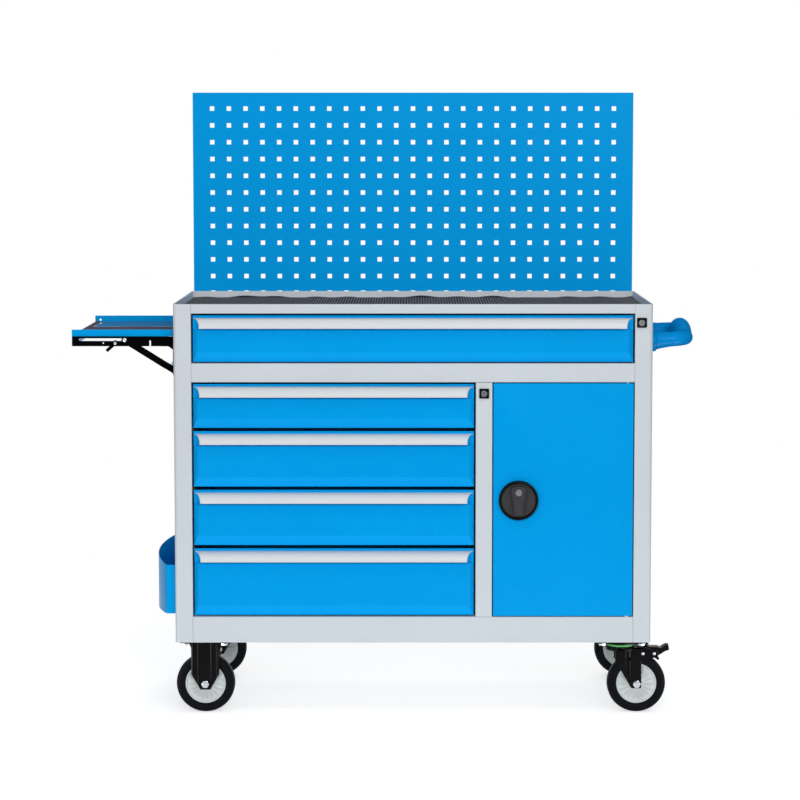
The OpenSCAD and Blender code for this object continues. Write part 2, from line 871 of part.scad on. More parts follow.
module knob_housing() {
    color("black")
    difference() {
        bar_y(knob_x, knob_z, y_front - knob_h, y_front, knob_r);
        bar_y(knob_x, knob_z, y_front - knob_h - eps, y_front - rim_floor, rotor_r + slide_play);
        bar_y(knob_x, knob_z, y_front - knob_h, y_front + eps, spindle_r + shaft_play);
    }
}

// Turning dish with the tapered grip, on the spindle
module knob_grip() {
    y_rotor = y_front - rim_floor - slide_play;
    color("dimgray")
    difference() {
        union() {
            bar_y(knob_x, knob_z, y_rotor - rotor_t, y_rotor, rotor_r);
            plate_xz(y_rotor - rotor_t - grip_t, y_rotor - rotor_t)
                translate([knob_x, knob_z])
                    polygon([[-grip_low_w / 2, -grip_len], [grip_low_w / 2, -grip_len],
                             [grip_top_w / 2, grip_len - 6], [0, grip_len], [-grip_top_w / 2, grip_len - 6]]);
            bar_y(knob_x, knob_z, y_rotor, cam_y + cam_t, spindle_r);
            bar_y(knob_x, knob_z, cam_y + cam_t, cam_y + cam_t + spindle_end, spindle_r + 4);
            bar_y(knob_x, knob_z, y_front + door_d / 2, cam_y, spindle_r + 4);
        }
        bar_y(knob_x, knob_z + key_up, y_rotor - rotor_t - grip_t - eps,
              y_rotor - rotor_t - grip_t + key_depth, key_r + shaft_play);
    }
}

module latch_cam() {
    color("silver")
    plate_xz(cam_y, cam_y + cam_t)
        difference() {
            union() {
                translate([knob_x, knob_z]) circle(d = 2 * cam_w);
                translate([knob_x - cam_w / 2, knob_z - cam_len]) square([cam_w, cam_len]);
            }
            translate([knob_x, knob_z]) circle(r = spindle_r);
        }
}

module knob_plug() {
    y0 = y_front - rim_floor - slide_play - rotor_t - grip_t;
    color("silver")
    difference() {
        bar_y(knob_x, knob_z + key_up, y0 - key_t, y0 + key_depth - 0.2, key_r);
        block([knob_x - 0.8, y0 - key_t - eps, knob_z + key_up - 4], [knob_x + 0.8, y0, knob_z + key_up + 4]);
    }
}

// Folding shelf. The front bracket is drawn, and the back one is its mirror image.
// The tongue carries the strut's line on to the wall.
module bracket_tongue() {
    run = 2 * hinge_out;
    intersection() {
        slot_2d([hinge_x, strut_z], [hinge_x + run, strut_z - run * tan(strut_tilt)], strut_w);
        translate([hinge_x - strut_w, strut_z - 2 * run]) square([strut_w + hinge_out, 4 * run]);
    }
}

module shelf_wall_brackets() {
    y1 = web_y + bracket_w;
    x_ear = hinge_x - ear_out;
    color("black")
    mirror_copy_y() {
        difference() {
            union() {
                block([-x_out - bracket_t, web_y, strut_z - bracket_foot], [-x_out, y1, tray_z]);
                plate_xz(web_y, web_y + bracket_t) {
                    polygon([[-x_out, arm_z0 - ear_drop], [hinge_x + rivet_r, arm_z0], [x_ear, arm_z0],
                             [x_ear, tray_z], [-x_out, tray_z]]);
                    bracket_tongue();
                }
            }
            at_bracket_bolts() bolt_hole(2 * bracket_t);
        }
        bar_y(hinge_x, hinge_z, web_y, arm_y + bracket_t + bracket_gap + rivet_cap, rivet_r);
        bar_y(hinge_x, hinge_z, arm_y + bracket_t + bracket_gap, arm_y + bracket_t + bracket_gap + rivet_cap,
              rivet_r + rivet_head);
        bar_y(hinge_x, strut_z, strut_y - bracket_gap - rivet_cap, web_y + bracket_t, rivet_r);
        bar_y(hinge_x, strut_z, strut_y - bracket_gap - rivet_cap, strut_y - bracket_gap,
              rivet_r + rivet_head);
    }
}

// Shelf tray with raised long rims and a folded-down outer end
module shelf_tray() {
    h = tray_d / 2;
    color("dodgerblue") {
        block([tray_x0, -h, tray_z], [tray_x1, h, tray_z + sheet]);
        block([tray_x0, -h, tray_z - arm_h], [tray_x0 + sheet, h, tray_z]);
        block([tray_x0, -h, tray_z], [tray_x1, -h + sheet, tray_z + tray_rim]);
        difference() {
            block([tray_x0, h - sheet, tray_z], [tray_x1, h, tray_z + tray_back]);
            bar_y(tray_x0 + tray_hole[0], tray_z + tray_hole[1], h - 2 * sheet, h + sheet, tray_hole[2]);
        }
    }
}

module shelf_mat() {
    h = tray_d / 2 - sheet - mat_gap;
    color("dimgray")
    block([tray_x0 + mat_gap, -h, tray_z + sheet], [tray_x1 - mat_gap, h, tray_z + sheet + tray_mat_t]);
}

module shelf_arms() {
    x0 = tray_x0 + sheet;
    color("black")
    mirror_copy_y() {
        difference() {
            union() {
                plate_xz(arm_y, arm_y + bracket_t) {
                    polygon([[x0, arm_z0], [hinge_x - arm_heel, arm_z0],
                             [hinge_x + arm_end / 2, hinge_z - arm_end], [hinge_x, hinge_z],
                             [hinge_x, tray_z], [x0, tray_z]]);
                    translate([hinge_x, hinge_z]) circle(r = arm_end);
                }
                block([x0, arm_y, tray_z - bracket_t],
                      [hinge_x - ear_out - bracket_gap, arm_y + arm_flange, tray_z]);
            }
            bar_y(hinge_x, hinge_z, arm_y - eps, arm_y + bracket_t + eps, rivet_r + shaft_play);
            plate_xz(arm_y - eps, arm_y + bracket_t + eps) {
                slot_2d([hinge_x - strut_out, hinge_z], [hinge_x - slot_end, hinge_z], slot_h);
                translate([hinge_x - arm_notch[0] - arm_notch[1] / 2, arm_z0 - eps])
                    square([arm_notch[1], arm_notch[2] + eps]);
            }
        }
        bar_y(hinge_x - lever_out, lever_z, arm_y, lever_y + bracket_t + bracket_gap + rivet_cap,
              lever_rivet_r);
        bar_y(hinge_x - lever_out, lever_z, lever_y + bracket_t + bracket_gap,
              lever_y + bracket_t + bracket_gap + rivet_cap, lever_rivet_r + rivet_head);
    }
}

module shelf_struts() {
    color("black")
    mirror_copy_y() {
        difference() {
            plate_xz(strut_y, strut_y + bracket_t)
                slot_2d([hinge_x, strut_z], [hinge_x - strut_out, hinge_z], strut_w);
            bar_y(hinge_x, strut_z, strut_y - eps, strut_y + bracket_t + eps, rivet_r + shaft_play);
        }
        bar_y(hinge_x - strut_out, hinge_z, strut_y, arm_y - bracket_gap, slot_h / 2);
        bar_y(hinge_x - strut_out, hinge_z, strut_y - rivet_cap, strut_y, rivet_r + rivet_head);
    }
}

module shelf_levers() {
    color("black")
    mirror_copy_y()
        difference() {
            plate_xz(lever_y, lever_y + bracket_t)
                translate([hinge_x - lever_out, lever_z]) {
                    circle(d = lever_w);
                    rotate(180 + lever_tilt) translate([0, -lever_bar / 2]) square([lever_len, lever_bar]);
                }
            bar_y(hinge_x - lever_out, lever_z, lever_y - eps, lever_y + bracket_t + eps,
                  lever_rivet_r + shaft_play);
        }
}

// Casters
module plate_holes(x) {
    at_plate_bolts(x) translate([0, 0, plate_z]) bolt_hole(2 * plate_t);
}

module fixed_forks() {
    color("black")
    difference() {
        for (y = caster_ys) translate([fixed_x, y, 0]) {
            block([-plate_l / 2, -plate_w / 2, plate_z], [plate_l / 2, plate_w / 2, z_base]);
            mirror_copy_y()
                plate_xz(-leg_y, -leg_y + leg_t)
                    difference() {
                        polygon([[-leg_top_w, plate_z], [-leg_top_w, wheel_r + leg_rise],
                                 [-leg_tip_w, wheel_r - leg_end], [leg_tip_w, wheel_r - leg_end],
                                 [leg_top_w, wheel_r + leg_rise], [leg_top_w, plate_z]]);
                        translate([0, wheel_r]) circle(r = axle_r + 0.02);
                    }
        }
        plate_holes(fixed_x);
    }
}

module axle(x, y) {
    color("silver")
    translate([x, y, 0]) {
        bar_y(0, wheel_r, -leg_y, leg_y, axle_r);
        mirror_copy_y()
            translate([0, -leg_y, wheel_r]) rotate([90, 0, 0])
                cylinder(r = axle_head_r, h = axle_head, $fn = 6);
    }
}

module fixed_axles() { for (y = caster_ys) axle(fixed_x, y); }

module front_swivel_axle() { axle(king_x + trail, caster_ys[0]); }

module rear_swivel_axle() { axle(king_x + trail, caster_ys[1]); }

// Fixed plate of a swivel caster with its race and kingpin
module swivel_plates() {
    color("black")
    difference() {
        for (y = caster_ys) translate([king_x, y, 0]) {
            block([-plate_l / 2, -plate_w / 2, plate_z], [plate_l / 2, plate_w / 2, z_base]);
            bar_z(0, 0, plate_z - race_t, z_base, seal_r);
            bar_z(0, 0, crown_z0 - 5, z_base, kingpin_r);
            bar_z(0, 0, crown_z0 - 5, crown_z0 - seal_gap, kingpin_r + 4);
        }
        plate_holes(king_x);
    }
}

module swivel_seals() {
    color("mediumseagreen")
    for (y = caster_ys) difference() {
        bar_z(king_x, y, seal_z, seal_z + seal_t, seal_r);
        bar_z(king_x, y, seal_z - eps, seal_z + seal_t + eps, kingpin_r);
    }
}

// Side outline of a swivel fork, with or without the ear that holds the brake pedal
module swivel_leg(braked) {
    polygon(concat(
        [[-leg_back, crown_z1], [-leg_back, crown_z1 - leg_skirt],
         [trail + leg_slant[0], wheel_r + leg_slant[1]], [trail - leg_tip_w - 1, wheel_r - leg_below],
         [trail + leg_tip_w - 1, wheel_r - leg_below], [trail + leg_tip_w - 1, pedal_z - 2 * pedal_ear]],
        braked ? [[pedal_x + pedal_ear, pedal_z - pedal_ear + 1],
                  [pedal_x + pedal_ear, pedal_z + pedal_ear - 2]] : [],
        [[crown_reach, crown_z1]]));
}

module swivel_fork(y, braked) {
    color("black")
    translate([king_x, y, 0]) {
        difference() {
            union() {
                bar_z(0, 0, crown_z0, crown_z1, crown_r);
                block([0, -leg_y, crown_z0], [crown_reach, leg_y, crown_z1]);
                mirror_copy_y()
                    plate_xz(-leg_y, -leg_y + leg_t) swivel_leg(braked);
            }
            bar_z(0, 0, crown_z0 - eps, crown_z1 + eps, kingpin_r + shaft_play);
            bar_y(trail, wheel_r, -leg_y - eps, leg_y + eps, axle_r + 0.02);
        }
        if (braked) bar_y(pedal_x, pedal_z, -leg_y, leg_y, pedal_pin_r);
    }
}

module front_swivel_fork() { swivel_fork(caster_ys[0], true); }

module rear_swivel_fork() { swivel_fork(caster_ys[1], false); }

// Brake pedal between the legs of the front swivel fork
module front_brake_pedal() {
    color("black")
    translate([king_x + pedal_x, caster_ys[0], pedal_z])
        plate_xz(-pedal_w / 2, pedal_w / 2)
            difference() {
                polygon([[-14, -5], [-2, -8], [9, -16], [12.5, -13.5], [8, -7], [26, 4.4], [33, 6],
                         [32, 15.5], [24, 16], [15, 10.3], [8, 12.8], [-13, 13]]);
                circle(r = pedal_pin_r + shaft_play);
            }
}

// Wheels
module at_wheel(x, y) {
    translate([x, y, wheel_r]) rotate([90, 0, 0]) children();
}

module tyre() {
    round_r = (wheel_r - hub_r) / 2;
    color("black")
    rotate_extrude() {
        translate([hub_r, -tyre_w / 2]) square([wheel_r - round_r - hub_r, tyre_w]);
        translate([hub_r, round_r - tyre_w / 2]) square([wheel_r - hub_r, tyre_w - 2 * round_r]);
        for (s = [-1, 1]) translate([wheel_r - round_r, s * (tyre_w / 2 - round_r)]) circle(r = round_r);
    }
}

module hub() {
    bore = axle_r + shaft_play;
    boss = axle_r + 8;
    dish = 4;
    rim = 5;
    color("lightgray")
    rotate_extrude()
        polygon([[bore, -boss_w / 2], [boss, -boss_w / 2], [boss, dish - hub_w / 2],
                 [hub_r - rim, dish - hub_w / 2], [hub_r - rim, -hub_w / 2], [hub_r, -hub_w / 2],
                 [hub_r, hub_w / 2], [hub_r - rim, hub_w / 2], [hub_r - rim, hub_w / 2 - dish],
                 [boss, hub_w / 2 - dish], [boss, boss_w / 2], [bore, boss_w / 2]]);
}

module front_left_tyre() { at_wheel(fixed_x, caster_ys[0]) tyre(); }

module front_left_hub() { at_wheel(fixed_x, caster_ys[0]) hub(); }

module rear_left_tyre() { at_wheel(fixed_x, caster_ys[1]) tyre(); }

module rear_left_hub() { at_wheel(fixed_x, caster_ys[1]) hub(); }

module front_right_tyre() { at_wheel(king_x + trail, caster_ys[0]) tyre(); }

module front_right_hub() { at_wheel(king_x + trail, caster_ys[0]) hub(); }

module rear_right_tyre() { at_wheel(king_x + trail, caster_ys[1]) tyre(); }

module rear_right_hub() { at_wheel(king_x + trail, caster_ys[1]) hub(); }

left_side_panel();
right_side_panel();
side_liners();
back_panel();
base_pan();
top_tray();
front_rails();
centre_post();
centre_partition();
divider_deck();
cupboard_shelf();
top_mat();
pegboard();
hex_bolts();
push_handle();
side_bin();
lock_bodies();
upper_lock_plug();
lower_lock_plug();
cabinet_slides();
wide_drawer();
drawer_1();
drawer_2();
drawer_3();
drawer_4();
wide_drawer_pull();
drawer_1_pull();
drawer_2_pull();
drawer_3_pull();
drawer_4_pull();
door_pivot_pins();
door_panel();
knob_housing();
knob_grip();
latch_cam();
knob_plug();
shelf_wall_brackets();
shelf_tray();
shelf_mat();
shelf_arms();
shelf_struts();
shelf_levers();
fixed_forks();
fixed_axles();
swivel_plates();
swivel_seals();
front_swivel_fork();
rear_swivel_fork();
front_swivel_axle();
rear_swivel_axle();
front_brake_pedal();
front_left_tyre();
front_left_hub();
rear_left_tyre();
rear_left_hub();
front_right_tyre();
front_right_hub();
rear_right_tyre();
rear_right_hub();
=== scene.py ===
"""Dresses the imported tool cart: folded sheets, pulls, knob, handle, bin, casters and their finishes.

Shapes are worked out in millimetres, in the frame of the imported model, and turned into metres
when their mesh is made.
"""
import json
import math

import bmesh
import bpy
import numpy as np
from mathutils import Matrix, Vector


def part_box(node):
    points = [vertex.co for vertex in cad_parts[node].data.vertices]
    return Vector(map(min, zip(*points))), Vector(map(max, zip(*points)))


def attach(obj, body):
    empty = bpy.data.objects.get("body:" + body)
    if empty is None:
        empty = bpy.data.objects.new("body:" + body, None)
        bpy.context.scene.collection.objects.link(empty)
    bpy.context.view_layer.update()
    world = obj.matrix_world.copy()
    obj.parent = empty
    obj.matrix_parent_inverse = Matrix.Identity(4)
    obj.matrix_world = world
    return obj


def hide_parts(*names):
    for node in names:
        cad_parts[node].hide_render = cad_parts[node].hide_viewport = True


bl_info = {
    "name": "Tool Cart",
    "version": (1, 0, 0),
    "blender": (4, 5, 0),
    "location": "View3D > Sidebar > Tool Cart",
    "description": "Builds the visible pieces of a tool cart around its packed model",
    "category": "Add Mesh",
}

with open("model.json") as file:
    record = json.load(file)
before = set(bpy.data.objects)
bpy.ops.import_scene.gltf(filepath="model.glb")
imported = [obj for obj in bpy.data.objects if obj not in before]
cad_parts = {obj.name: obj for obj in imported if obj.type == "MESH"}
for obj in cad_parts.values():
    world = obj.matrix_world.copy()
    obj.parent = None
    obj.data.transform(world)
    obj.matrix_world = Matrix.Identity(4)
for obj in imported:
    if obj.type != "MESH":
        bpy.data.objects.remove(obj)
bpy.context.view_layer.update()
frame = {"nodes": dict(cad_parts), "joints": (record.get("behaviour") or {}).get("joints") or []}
NODES = frame["nodes"]
MM = 0.001
ENDS = ("front", "rear")
SIDES = ("left", "right")
DRAWERS = ("wide_drawer", "drawer_1", "drawer_2", "drawer_3", "drawer_4")

# Sizes in millimetres that several pieces share
BOLT_R = 4
PLATE_T = 4
PLATE_W = 80
LEG_IN = 20
LEG_OUT = 23
FOOT_R = 24.0


def srgb(red, green, blue):
    """A screen colour of 0 to 255 as linear light: x / 12.92 below 0.04045, and above it
    ((x + 0.055) / 1.055) ** 2.4."""
    x = np.array([red, green, blue]) / 255
    return tuple(np.where(x <= 0.04045, x / 12.92, ((x + 0.055) / 1.055) ** 2.4))


def box_mm(node):
    """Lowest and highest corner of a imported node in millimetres."""
    low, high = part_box(node)
    return np.array(low) / MM, np.array(high) / MM


def pivot_of(joint):
    """Place of a joint in millimetres."""
    return np.array([j["pos_m"] for j in frame["joints"] if j["name"] == joint][0]) / MM


# Points and faces


def grid_quads(rows, cols, wrap_rows=False, wrap_cols=False):
    """Quads between neighbours of a grid of points; a wrapped side joins its last line to its first."""
    i, j = np.meshgrid(np.arange(rows if wrap_rows else rows - 1),
                       np.arange(cols if wrap_cols else cols - 1), indexing="ij")
    k, m = (i + 1) % rows, (j + 1) % cols
    return np.stack([i * cols + j, k * cols + j, k * cols + m, i * cols + m], -1).reshape(-1, 4)


class Shape:
    """Points and faces of one piece, gathered part by part."""

    def __init__(self):
        self.points = []
        self.faces = []
        self.count = 0

    def add(self, points, faces):
        """Adds points, and faces that count from the first of them."""
        points = np.asarray(points, float).reshape(-1, 3)
        self.faces += [[int(k) + self.count for k in face] for face in faces]
        self.points.append(points)
        self.count += len(points)

    def grid(self, points, wrap_rows=False, wrap_cols=False, cap_rows=False, cap_cols=False):
        """A grid of points (rows, columns, 3), with its first and last lines filled where asked."""
        rows, cols = points.shape[:2]
        faces = grid_quads(rows, cols, wrap_rows, wrap_cols).tolist()
        index = np.arange(rows * cols).reshape(rows, cols)
        if cap_rows:
            faces += [index[0].tolist(), index[-1].tolist()]
        if cap_cols:
            faces += [index[:, 0].tolist(), index[:, -1].tolist()]
        self.add(points, faces)


def carry(loop, origins, across, up):
    """A loop carried along a path: each point is origin + a * across + b * up, for each station."""
    loop = np.asarray(loop, float)
    loops = loop if loop.ndim == 3 else np.broadcast_to(loop, (len(origins),) + loop.shape)
    return origins[:, None] + loops[..., :1] * across[:, None] + loops[..., 1:] * up[:, None]


def along(shape, loop, axis, ends):
    """A closed loop carried straight along an axis. It is drawn in the two other axes, in order."""
    ends = np.asarray(ends, float)
    eye = np.eye(3)
    first, second = [k for k in range(3) if k != axis]
    origins = ends[:, None] * eye[axis]
    turn = np.ones((len(ends), 1))
    shape.grid(carry(loop, origins, turn * eye[first], turn * eye[second]), wrap_cols=True, cap_rows=True)


def arc(centre, radius, start, end, steps):
    """Points of a circle between two angles in degrees."""
    angle = np.radians(np.linspace(start, end, steps + 1))
    return np.asarray(centre, float) + radius * np.stack([np.cos(angle), np.sin(angle)], -1)


def filleted(points, radius, steps=5, closed=False):
    """A line of corners in which each corner gives way to an arc that touches both of its sides."""
    points = np.asarray(points, float)
    radii = np.broadcast_to(radius, len(points))
    picks = range(len(points)) if closed else range(1, len(points) - 1)
    bends = []
    for k in picks:
        a, b, c = points[k - 1], points[k], points[(k + 1) % len(points)]
        d, e = (a - b) / np.linalg.norm(a - b), (c - b) / np.linalg.norm(c - b)
        half = math.acos(np.clip(d @ e, -1, 1)) / 2
        middle = (d + e) / np.linalg.norm(d + e)
        centre = b + middle * radii[k] / math.sin(half)
        start, end = b + d * radii[k] / math.tan(half) - centre, b + e * radii[k] / math.tan(half) - centre
        sweep = math.pi - 2 * half
        turn = math.copysign(1, start[0] * end[1] - start[1] * end[0])
        angle = math.atan2(start[1], start[0]) + turn * np.linspace(0, sweep, steps + 1)
        bends.append(centre + radii[k] * np.stack([np.cos(angle), np.sin(angle)], -1))
    if closed:
        return np.concatenate(bends)
    return np.concatenate([points[:1]] + bends + [points[-1:]])


def sheet_loop(points, radius, thick):
    """Outline of a folded sheet: a filleted middle line moved half the thickness to either side,
    with round ends."""
    line = filleted(points, radius)
    step = np.diff(line, axis=0)
    step /= np.linalg.norm(step, axis=1)[:, None]
    normal = np.stack([-step[:, 1], step[:, 0]], -1)
    mean = np.concatenate([normal[:1], normal[:-1] + normal[1:], normal[-1:]])
    mean /= np.linalg.norm(mean, axis=1)[:, None]
    lean = np.concatenate([[1.0], np.sum(mean[1:-1] * normal[:-1], axis=1), [1.0]])
    side = mean * (thick / 2 / lean)[:, None]
    tip = 0.35 * thick
    line[0] += step[0] * tip
    line[-1] -= step[-1] * tip
    first, last = line[0] - step[0] * tip, line[-1] + step[-1] * tip
    return np.concatenate([(first + side[0] * 0.5)[None], line + side, (last + side[-1] * 0.5)[None],
                           (last - side[-1] * 0.5)[None], (line - side)[::-1], (first - side[0] * 0.5)[None]])


def box_loop(low, high, radius, steps=4):
    """A rectangle with round corners."""
    (a, b), (c, d) = low, high
    return filleted([(a, b), (c, b), (c, d), (a, d)], radius, steps, closed=True)


def scaled_stack(loop, centre, levels):
    """Copies of a loop, one for each (inset, height): each point moves towards the centre by the inset."""
    away = loop - centre
    length = np.linalg.norm(away, axis=1)[:, None]
    return [(centre + away * (1 - inset / length), height) for inset, height in levels]


def turned(profile, steps, bend=None):
    """A profile of (radius, height) turned about the third axis: x = r cos t, y = r sin t, z = h.
    bend changes the radius and height of the whole grid, from radius, height and angle."""
    angle = np.linspace(0, 2 * math.pi, steps, endpoint=False)[:, None]
    radius, height = np.broadcast_arrays(*(np.asarray(profile, float).T[:, None] + 0 * angle))
    if bend:
        radius, height = bend(radius, height, angle)
    return np.stack([radius * np.cos(angle), radius * np.sin(angle), height], -1)


def faced(points, at, axis):
    """Points about the third axis set at a place, with that axis along +X, -X, +Y, -Y, +Z or -Z."""
    third = {"+X": (1, 0, 0), "-X": (-1, 0, 0), "+Y": (0, 1, 0), "-Y": (0, -1, 0),
             "+Z": (0, 0, 1), "-Z": (0, 0, -1)}[axis]
    third = np.array(third, float)
    first = np.array((0, 0, 1.0) if abs(third[2]) < 0.5 else (1.0, 0, 0))
    frame_axes = np.stack([first, np.cross(third, first), third])
    return np.asarray(at, float) + points @ frame_axes


def round_body(shape, profile, steps, at, axis, bend=None):
    """A turned body with its ends filled."""
    points = faced(turned(profile, steps, bend), at, axis)
    shape.grid(points, wrap_rows=True, cap_cols=True)


def hex_grid(radius, height, steps=8):
    """Hexagon head: the radius of a hexagon is a / cos(t), with t measured from the middle of its side,
    and its crown falls off as a 30 degree cone outside the circle that touches its sides."""
    angle = np.linspace(0, 2 * math.pi, 6 * steps, endpoint=False)
    flat = radius * math.cos(math.pi / 6)
    outer = flat / np.cos((angle + math.pi / 6) % (math.pi / 3) - math.pi / 6)
    share = np.array([0.35, 0.7, 0.93, 1.0, 1.0])
    rim = outer[:, None] * share
    drop = np.maximum(rim - 0.95 * flat, 0) * math.tan(math.pi / 6)
    top = height - drop
    top[:, -1] = 0
    return np.stack([rim * np.cos(angle)[:, None], rim * np.sin(angle)[:, None], top], -1)


# Pieces


def make_piece(name, shape, body, finish, replaced=(), sharp=32):
    """One mesh object in metres: doubles merged, faces turned outwards, smooth except at sharp folds."""
    mesh = bpy.data.meshes.new(name)
    mesh.from_pydata((np.concatenate(shape.points) * MM).tolist(), [], shape.faces)
    work = bmesh.new()
    work.from_mesh(mesh)
    bmesh.ops.remove_doubles(work, verts=work.verts, dist=2e-6)
    bmesh.ops.dissolve_degenerate(work, edges=work.edges, dist=1e-7)
    bmesh.ops.recalc_face_normals(work, faces=work.faces)
    work.to_mesh(mesh)
    work.free()
    mesh.shade_smooth()
    mesh.set_sharp_from_angle(angle=math.radians(sharp))
    piece = bpy.data.objects.new(name, mesh)
    bpy.context.scene.collection.objects.link(piece)
    mesh.materials.append(bpy.data.materials[finish])
    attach(piece, body)
    if replaced:
        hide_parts(*replaced)


def dress(finish, *nodes):
    """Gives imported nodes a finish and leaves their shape."""
    material = bpy.data.materials[finish]
    for node in nodes:
        if not NODES[node].material_slots:
            NODES[node].data.materials.append(material)
        for place in NODES[node].material_slots:
            place.material = material


# Finishes


class Finish:
    """A node material on object coordinates with a few short calls."""

    def __init__(self, name, **sockets):
        self.material = bpy.data.materials.get(name) or bpy.data.materials.new(name)
        self.material.use_nodes = True
        self.tree = self.material.node_tree
        self.tree.nodes.clear()
        self.out = self.tree.nodes.new("ShaderNodeOutputMaterial")
        self.shader = self.tree.nodes.new("ShaderNodeBsdfPrincipled")
        self.link(self.shader.outputs[0], self.out.inputs[0])
        for key, value in sockets.items():
            self.shader.inputs[key.replace("_", " ")].default_value = value
        self.place = self.tree.nodes.new("ShaderNodeTexCoord").outputs["Object"]
        self.normal = None

    def link(self, a, b):
        """Joins an output to an input."""
        self.tree.links.new(a, b)

    def node(self, kind, **values):
        """A new node with some of its settings."""
        made = self.tree.nodes.new(kind)
        for key, value in values.items():
            setattr(made, key, value)
        return made

    def stretched(self, scale):
        """Object coordinates stretched by a scale on each axis."""
        made = self.node("ShaderNodeMapping")
        made.inputs["Scale"].default_value = scale
        self.link(self.place, made.inputs["Vector"])
        return made.outputs["Vector"]

    def noise(self, scale, detail=2.0, vector=None):
        """Noise on object coordinates, or on a vector made from them."""
        made = self.node("ShaderNodeTexNoise")
        made.inputs["Scale"].default_value = scale
        made.inputs["Detail"].default_value = detail
        self.link(vector or self.place, made.inputs["Vector"])
        return made.outputs["Fac"]

    def ranged(self, value, low, high, start=0.3, end=0.7):
        """Maps a value from start..end to low..high."""
        made = self.node("ShaderNodeMapRange")
        for key, number in (("From Min", start), ("From Max", end), ("To Min", low), ("To Max", high)):
            made.inputs[key].default_value = number
        self.link(value, made.inputs["Value"])
        return made.outputs["Result"]

    def tint(self, value, low, high, start=0.3, end=0.7):
        """Base colour from one colour to another along a value."""
        made = self.node("ShaderNodeMix", data_type="RGBA")
        self.link(self.ranged(value, 0.0, 1.0, start, end), made.inputs[0])
        made.inputs[6].default_value = (*low, 1)
        made.inputs[7].default_value = (*high, 1)
        self.link(made.outputs[2], self.shader.inputs["Base Color"])

    def darken(self, value):
        """Base colour times a value."""
        made = self.node("ShaderNodeVectorMath", operation="SCALE")
        base = self.shader.inputs["Base Color"]
        self.link(base.links[0].from_socket, made.inputs[0])
        self.link(value, made.inputs["Scale"])
        self.link(made.outputs[0], base)

    def rough(self, value, low, high):
        """Roughness from low to high along a value."""
        self.link(self.ranged(value, low, high), self.shader.inputs["Roughness"])

    def bump(self, value, depth, strength=1.0):
        """Raised detail of a depth in metres, on top of any before it."""
        made = self.node("ShaderNodeBump")
        made.inputs["Strength"].default_value = strength
        made.inputs["Distance"].default_value = depth
        self.link(value, made.inputs["Height"])
        if self.normal:
            self.link(self.normal, made.inputs["Normal"])
        self.normal = made.outputs["Normal"]
        self.link(self.normal, self.shader.inputs["Normal"])


def shade(colour, factor):
    """A colour made lighter or darker."""
    return tuple(min(1.0, c * factor) for c in colour)


def powder_coat(name, colour, low, high, specular=0.25, painted_underlight=1.0):
    """Sprayed and baked paint: fine orange peel, faint cloudiness and a roughness that wanders a little.
    On slopes that face down its colour is multiplied by the last argument, which paints in light from below."""
    made = Finish(name, Specular_IOR_Level=specular)
    made.tint(made.noise(5.0), shade(colour, 0.985), shade(colour, 1.015))
    if painted_underlight != 1.0:
        # Painted light: slopes that face down are made lighter, as if lit from below.
        slope = made.node("ShaderNodeSeparateXYZ")
        made.link(made.node("ShaderNodeTexCoord").outputs["Normal"], slope.inputs[0])
        made.darken(made.ranged(slope.outputs["Z"], painted_underlight, 1.0, -0.36, -0.12))
    made.rough(made.noise(38.0), low, high)
    made.bump(made.noise(620.0, 3.0), 0.00022, 0.35)
    made.bump(made.noise(2600.0, 1.0), 0.00006, 0.3)


def anodised(name, colour):
    """Drawn aluminium: fine streaks along its length under a satin skin."""
    made = Finish(name, Metallic=0.15, Specular_IOR_Level=0.2)
    streak = made.noise(1.0, 3.0, made.stretched((6.0, 2400.0, 2400.0)))
    made.tint(streak, shade(colour, 0.94), colour)
    made.rough(made.noise(1.0, 2.0, made.stretched((9.0, 1300.0, 1300.0))), 0.48, 0.6)
    made.bump(streak, 0.00005, 0.35)


def moulded(name, colour, low, high, grain=1500.0, depth=0.00008, specular=0.5):
    """Moulded plastic: a fine grain and small drifts of gloss."""
    made = Finish(name, Specular_IOR_Level=specular)
    made.tint(made.noise(22.0), shade(colour, 0.93), shade(colour, 1.05))
    made.rough(made.noise(60.0), low, high)
    made.bump(made.noise(grain, 2.0), depth, 0.5)


def waxed(name, colour):
    """Smooth moulded plastic: a dull body under a thin even gloss, which doesn't whiten at a slant."""
    made = Finish(name, Specular_IOR_Level=0.0, Roughness=0.5)
    made.tint(made.noise(22.0), shade(colour, 0.95), shade(colour, 1.04))
    made.bump(made.noise(700.0, 2.0), 0.00002, 0.5)
    gloss = made.node("ShaderNodeBsdfGlossy")
    made.link(made.ranged(made.noise(60.0), 0.18, 0.24), gloss.inputs["Roughness"])
    both = made.node("ShaderNodeMixShader")
    both.inputs[0].default_value = 0.005
    made.link(made.shader.outputs[0], both.inputs[1])
    made.link(gloss.outputs[0], both.inputs[2])
    made.link(both.outputs[0], made.out.inputs[0])


def rubbery(name, colour, dust, low, high):
    """Rubber: dull, with a bloom of dust in soft patches and a pebbled skin."""
    made = Finish(name, Specular_IOR_Level=0.06)
    made.tint(made.noise(34.0, 5.0), colour, dust, 0.45, 0.85)
    made.rough(made.noise(70.0), low, high)
    made.bump(made.noise(1100.0, 3.0), 0.00012, 0.5)


